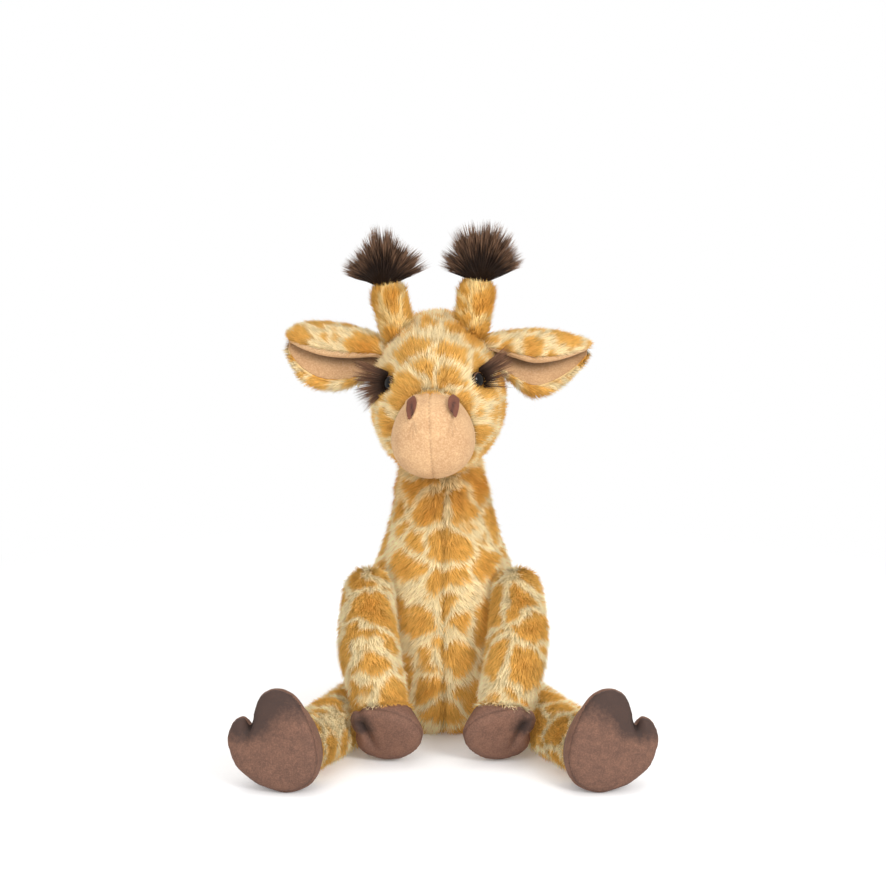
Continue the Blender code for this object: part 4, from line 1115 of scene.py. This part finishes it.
for limb, side in (("arm", "left"), ("arm", "right"), ("leg", "left"), ("leg", "right")):
    hoof_word, hoof_centre, facing, lift = limbs[limb]["hoof"]
    half_across, half_length, plump, crease_end = limbs[limb]["shape"]
    sign = 1.0 if side == "left" else -1.0
    body = limb + "_" + side
    flip = Vector((sign, 1.0, 1.0))
    line = through([Vector(p) * flip for p in limbs[limb]["path"]], 12)
    skin_node, fill_node = f"{limb}_skin_{side}", f"{limb}_stuffing_{side}"
    hoof_nodes = (f"{hoof_word}_hoof_{side}", f"{hoof_word}_sole_{side}")
    skin = felt(body + "_skin", surface_of(skin_node, fill_node), line, reach=0.026, around=56, cap=10)
    stuffed(skin, surface_of(*torso_nodes, *hoof_nodes), voxel=0.003, swell=0.0010)

    # the hoof, first as a plain stuffed form
    centre = Vector(hoof_centre) * flip
    out_way = (Vector(facing) * flip).normalized()
    upward = Vector(lift) * flip
    upward = (upward - out_way * upward.dot(out_way)).normalized()
    inward = np.array(out_way.cross(upward) * sign)
    hoof_form, deeper = surface_of(*hoof_nodes), centre - out_way * 0.004
    hoof = felt(
        f"{hoof_word}_{side}", hoof_form, [deeper], out_way, reach=0.045, around=160, cap=40, ease=24
    )
    stuffed(hoof, surface_of(skin_node), voxel=0.0016, swell=0.0022, inset=0.0002)
    centre, out_way, upward = np.array(centre), np.array(out_way), np.array(upward)

    # its cleft, the crease that runs down from the cleft, and the seam round the sole
    at, out = points_of(hoof)
    sole_off = away_from(surface_of(hoof_nodes[1]), at) - away_from(surface_of(hoof_nodes[0]), at)
    across_share = (at - centre) @ inward / half_across
    up_share = (at - centre) @ upward / half_length
    at = at + np.outer(np.clip(up_share + 0.1, 0.0, 1.0) * plump, upward)
    at = at - np.outer(np.clip(-across_share - 0.2, 0.0, 0.8) * plump * 0.8, inward)
    moved = groove(at, out, sole_off, width=0.0007, depth=0.0007)
    in_front = out @ out_way > 0.3
    shares = np.stack([across_share, up_share], axis=1)
    off = np.where(in_front, off_line(shares, (-cleft_across, 0.50), crease_end) * half_across, 1.0)
    run = ramp(up_share - crease_end[1], 0.0, 0.5)
    moved = groove(moved, out_way, off, width=0.0024, depth=0.0036 * run)
    notch = bell((across_share + cleft_across) * half_across, 0.0024) * ramp(up_share, 0.15, 0.25)
    moved = moved - np.outer(notch * (0.0015 + plump), upward)
    put(hoof.data, moved)
    # the seam round the sole, and painted shade in the crease of the cleft
    written(hoof.data, "seam_and_shade", np.maximum(0.8 * bell(sole_off, 0.0005), run * bell(off, 0.0011)))

    # painted shade beside the crease, and on the legs over the top as well
    lobe_near = bell(off / half_across, 0.40) * ramp(up_share, -0.05, 0.4)
    top_shade = 0.42 + 0.6 * ramp(up_share, 0.35, 0.5) if limb == "leg" else 0.0
    written(hoof.data, "lobe_shade", (lobe_near + top_shade) * in_front)
    clad(hoof, hoof_velour, body, "mauve_velour", 0.9, *hoof_nodes)

    route = np.array([list(p) for p in line + [Vector(hoof_centre) * flip]])

    def limb_lay(at):
        """Down the limb, as its middle line runs beside each point."""
        step = np.linalg.norm(at[:, None, :] - route[None, :-1, :], axis=2).argmin(axis=1)
        return (route[1:] - route[:-1])[step]

    # the limb's pile, longer and lifted where it meets the hoof, and none inside it
    at, out = points_of(skin)
    free = ramp(away_from(torso_shell, at), 0.0005, 0.0012)
    hoof_at = at - centre
    in_notch = (np.abs(hoof_at @ inward + cleft_across * half_across) < 0.0045) & (hoof_at @ upward > 0.0)
    down = route[-1] - route[-2]
    down = down / np.linalg.norm(down)
    free = free * (out @ down < 0.55)
    past_hoof = clear_of(hoof, at)
    cuff = bell(past_hoof, 0.0045)
    free = free * (past_hoof > 0.0002) * (1.0 + 0.6 * cuff) * (1.0 - in_notch * (past_hoof < 0.009))
    comb(skin, limb_lay, free * (at[:, 2] > 0.0012), 1.0 + 0.15 * cuff, lift=1.3 * cuff)
    grown(body + "_pile", skin, body, "patched_pile", limb_strand, Seed=71)
    clad(skin, limb_cloth, body, "patched_pile", 0.8, skin_node, fill_node)

    # a fringe on the hoof's own rim closes the gap to the cuff
    at, out = points_of(hoof)
    hem = np.clip(1.5 - away_from(tree_of(skin), at) / 0.0024, 0.0, 1.0)
    comb(hoof, limb_lay, hem * (out @ out_way < 0.40) * (at[:, 2] > 0.008))
    grown(
        body + "_cuff", hoof, body, "patched_pile", limb_strand,
        Seed=73, Length=0.0056, Density=6.5e6, Stand=0.30, Scatter=0.20, Wave=0.45,
    )


# ---------------------------------------------------------------------------
# The tail: a thin cord of plush sewn low on the back, with a dark tuft.

tail_line = [(0.0, 0.0496, 0.04995), (0.0, 0.0589, 0.0380), (0.0, 0.0614, 0.0270)]
tail = felt("tail_skin_round", surface_of("tail_skin"), through(tail_line, 8), reach=0.012, around=28, cap=6)
stuffed(tail, torso_shell, voxel=0.0016, swell=0.0004, inset=0.0003)
tail_way = np.array(Vector(tail_line[-1]) - Vector(tail_line[0]))
tail_free = ramp(away_from(torso_shell, places(tail.data)), 0.0005, 0.001)
comb(tail, lambda at: np.tile(tail_way, (len(at), 1)), tail_free)
grown("tail_pile", tail, "tail", "patched_pile", horn_strand, Seed=81, Length=0.0058, Width=0.00065)
clad(tail, horn_cloth, "tail", "patched_pile", 0.7, "tail_skin")

tip_low, tip_high = ends_of("tail_tuft", (0, 0, -1))
tip_middle = [tip_low.lerp(tip_high, s) for s in (0.3, 0.5, 0.7)]
tip = felt("tail_tip", surface_of("tail_tuft"), tip_middle, reach=0.016, around=28, cap=8)
at = places(tip.data)
put(tip.data, np.array(tip_low) + (at - np.array(tip_low)) * np.array((0.45, 0.45, 0.5)))
comb(tip, lambda at: at - np.array(tip_low) + np.array((0.0, 0.001, -0.006)))
grown(
    "tail_tip_pile", tip, "tail", "dark_pile", dark_pile,
    Length=0.0125, Width=0.0007, Density=2.6e6, Stand=0.5, Scatter=0.3, Wave=0.5, Bend=0.1, Seed=91, Joints=4,
)
clad(baked(tip), dark_pile, "tail", "dark_pile", 0.6, "tail_tuft")


# ---------------------------------------------------------------------------
# What is inside: a small cloth pouch of beads that weighs down the seat, and
# the washers that lock the eyes behind the cloth of the face.

pouch_cloth, pouch_shader, start = finish_of("pouch_cloth")
threads = {"Vector": start.here(), "Scale": 900.0}
weave = start.node("ShaderNodeTexWave", {"bands_direction": "X"}, threads, 1)
weave = weave * start.node("ShaderNodeTexWave", {"bands_direction": "Z"}, threads, 1)
lead(start.between(weave, dye(190, 186, 172), dye(222, 219, 208)), pouch_shader, "Base Color")
lead(weave * 0.1 + 0.85, pouch_shader, "Roughness")
relief = {"Height": weave, "Strength": 0.4, "Distance": 0.0002}
lead(start.node("ShaderNodeBump", {}, relief), pouch_shader, "Normal")
low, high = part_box("bead_pouch")
pouch_middle = (low + high) / 2
pouch = felt("bead_bag", surface_of("bead_pouch"), [pouch_middle], (0, 0, 1), reach=0.05, around=48, cap=14)
stuffed(pouch, None, voxel=0.003, swell=0.0006)
clad(pouch, pouch_cloth, "torso", "pouch_cloth", 0.6, "bead_pouch")

washer_plastic, washer_shader, start = finish_of("washer_plastic_finish")
mould = start.grain(start.here(), 0.0012)
lead(start.between(mould, dye(214, 214, 210), dye(234, 234, 230)), washer_shader, "Base Color")
lead(mould * 0.15 + 0.4, washer_shader, "Roughness")
for side in ("left", "right"):
    washer = frame["nodes"]["eye_washer_" + side]
    for hold in washer.material_slots:
        hold.material = washer_plastic


# ---------------------------------------------------------------------------
# The studio: a white floor that keeps the toy's shadow, a white surround and
# three soft lamps.


def to_eye(start):
    """1 where the camera looks, straight or by way of a gloss or a glass."""
    path = start.node("ShaderNodeLightPath")
    looks = path + path.twin("Is Glossy Ray") + path.twin("Is Transmission Ray")
    return start.sum("MINIMUM", looks, 1.0)


paper, paper_shader, start = finish_of("floor_paper")
grain = start.grain(start.here(), 0.002)
lead(start.between(grain, dye(232, 232, 232), dye(238, 238, 238)), paper_shader, "Base Color")
paper_shader.inputs["Roughness"].default_value = 0.9
paper_shader.inputs["Specular IOR Level"].default_value = 0.1
# what the camera sees turns from lit paper to plain white away from the toy
matt = Thread(paper.node_tree, paper_shader.outputs[0])
glow = start.node("ShaderNodeEmission", {}, {"Color": white, "Strength": 0.10})
lit = start.node("ShaderNodeAddShader", {}, {0: matt, 1: glow})
from_toy = start.node("ShaderNodeVectorMath", {"operation": "LENGTH"}, {0: start.here()}, 1)
bright = start.node("ShaderNodeEmission", {}, {"Color": white, "Strength": 1.0})
lit = start.node("ShaderNodeMixShader", {}, {0: from_toy.step(0.24, 0.55), 1: lit, 2: bright})
shown = start.node("ShaderNodeMixShader", {}, {0: to_eye(start), 1: matt, 2: lit})
paper.node_tree.links.new(shown.socket, paper.node_tree.nodes["Material Output"].inputs["Surface"])
bm = bmesh.new()
bmesh.ops.create_grid(bm, x_segments=1, y_segments=1, size=6.0)
floor = meshed("floor", bm)
floor.location = (0.0, 0.0, -0.0004)
floor.data.materials.append(paper)

world = bpy.data.worlds.new("studio")
world.use_nodes = True
bpy.context.scene.world = world
sky = world.node_tree.nodes["Background"]
lead(0.75 + to_eye(Thread(world.node_tree)) * 0.25, sky, "Strength")
sky.inputs["Color"].default_value = white

for name, spot, size, power in (
    ("key", (0.85, -1.30, 0.78), 0.6, 19.0),
    ("fill", (-0.8, -1.5, 0.7), 1.2, 14.0),
    ("top", (0.0, 0.3, 1.8), 1.4, 9.0),
    ("behind", (0.2, 1.5, 1.0), 1.2, 6.0),
):
    lamp = bpy.data.lights.new(name, "AREA")
    lamp.size = size
    lamp.energy = power
    holder = placed(name, lamp)
    holder.location = spot
    aim = Vector((0, 0, 0.13)) - Vector(spot)
    holder.rotation_euler = aim.to_track_quat("-Z", "Y").to_euler()

bpy.context.scene.view_settings.view_transform = "Standard"
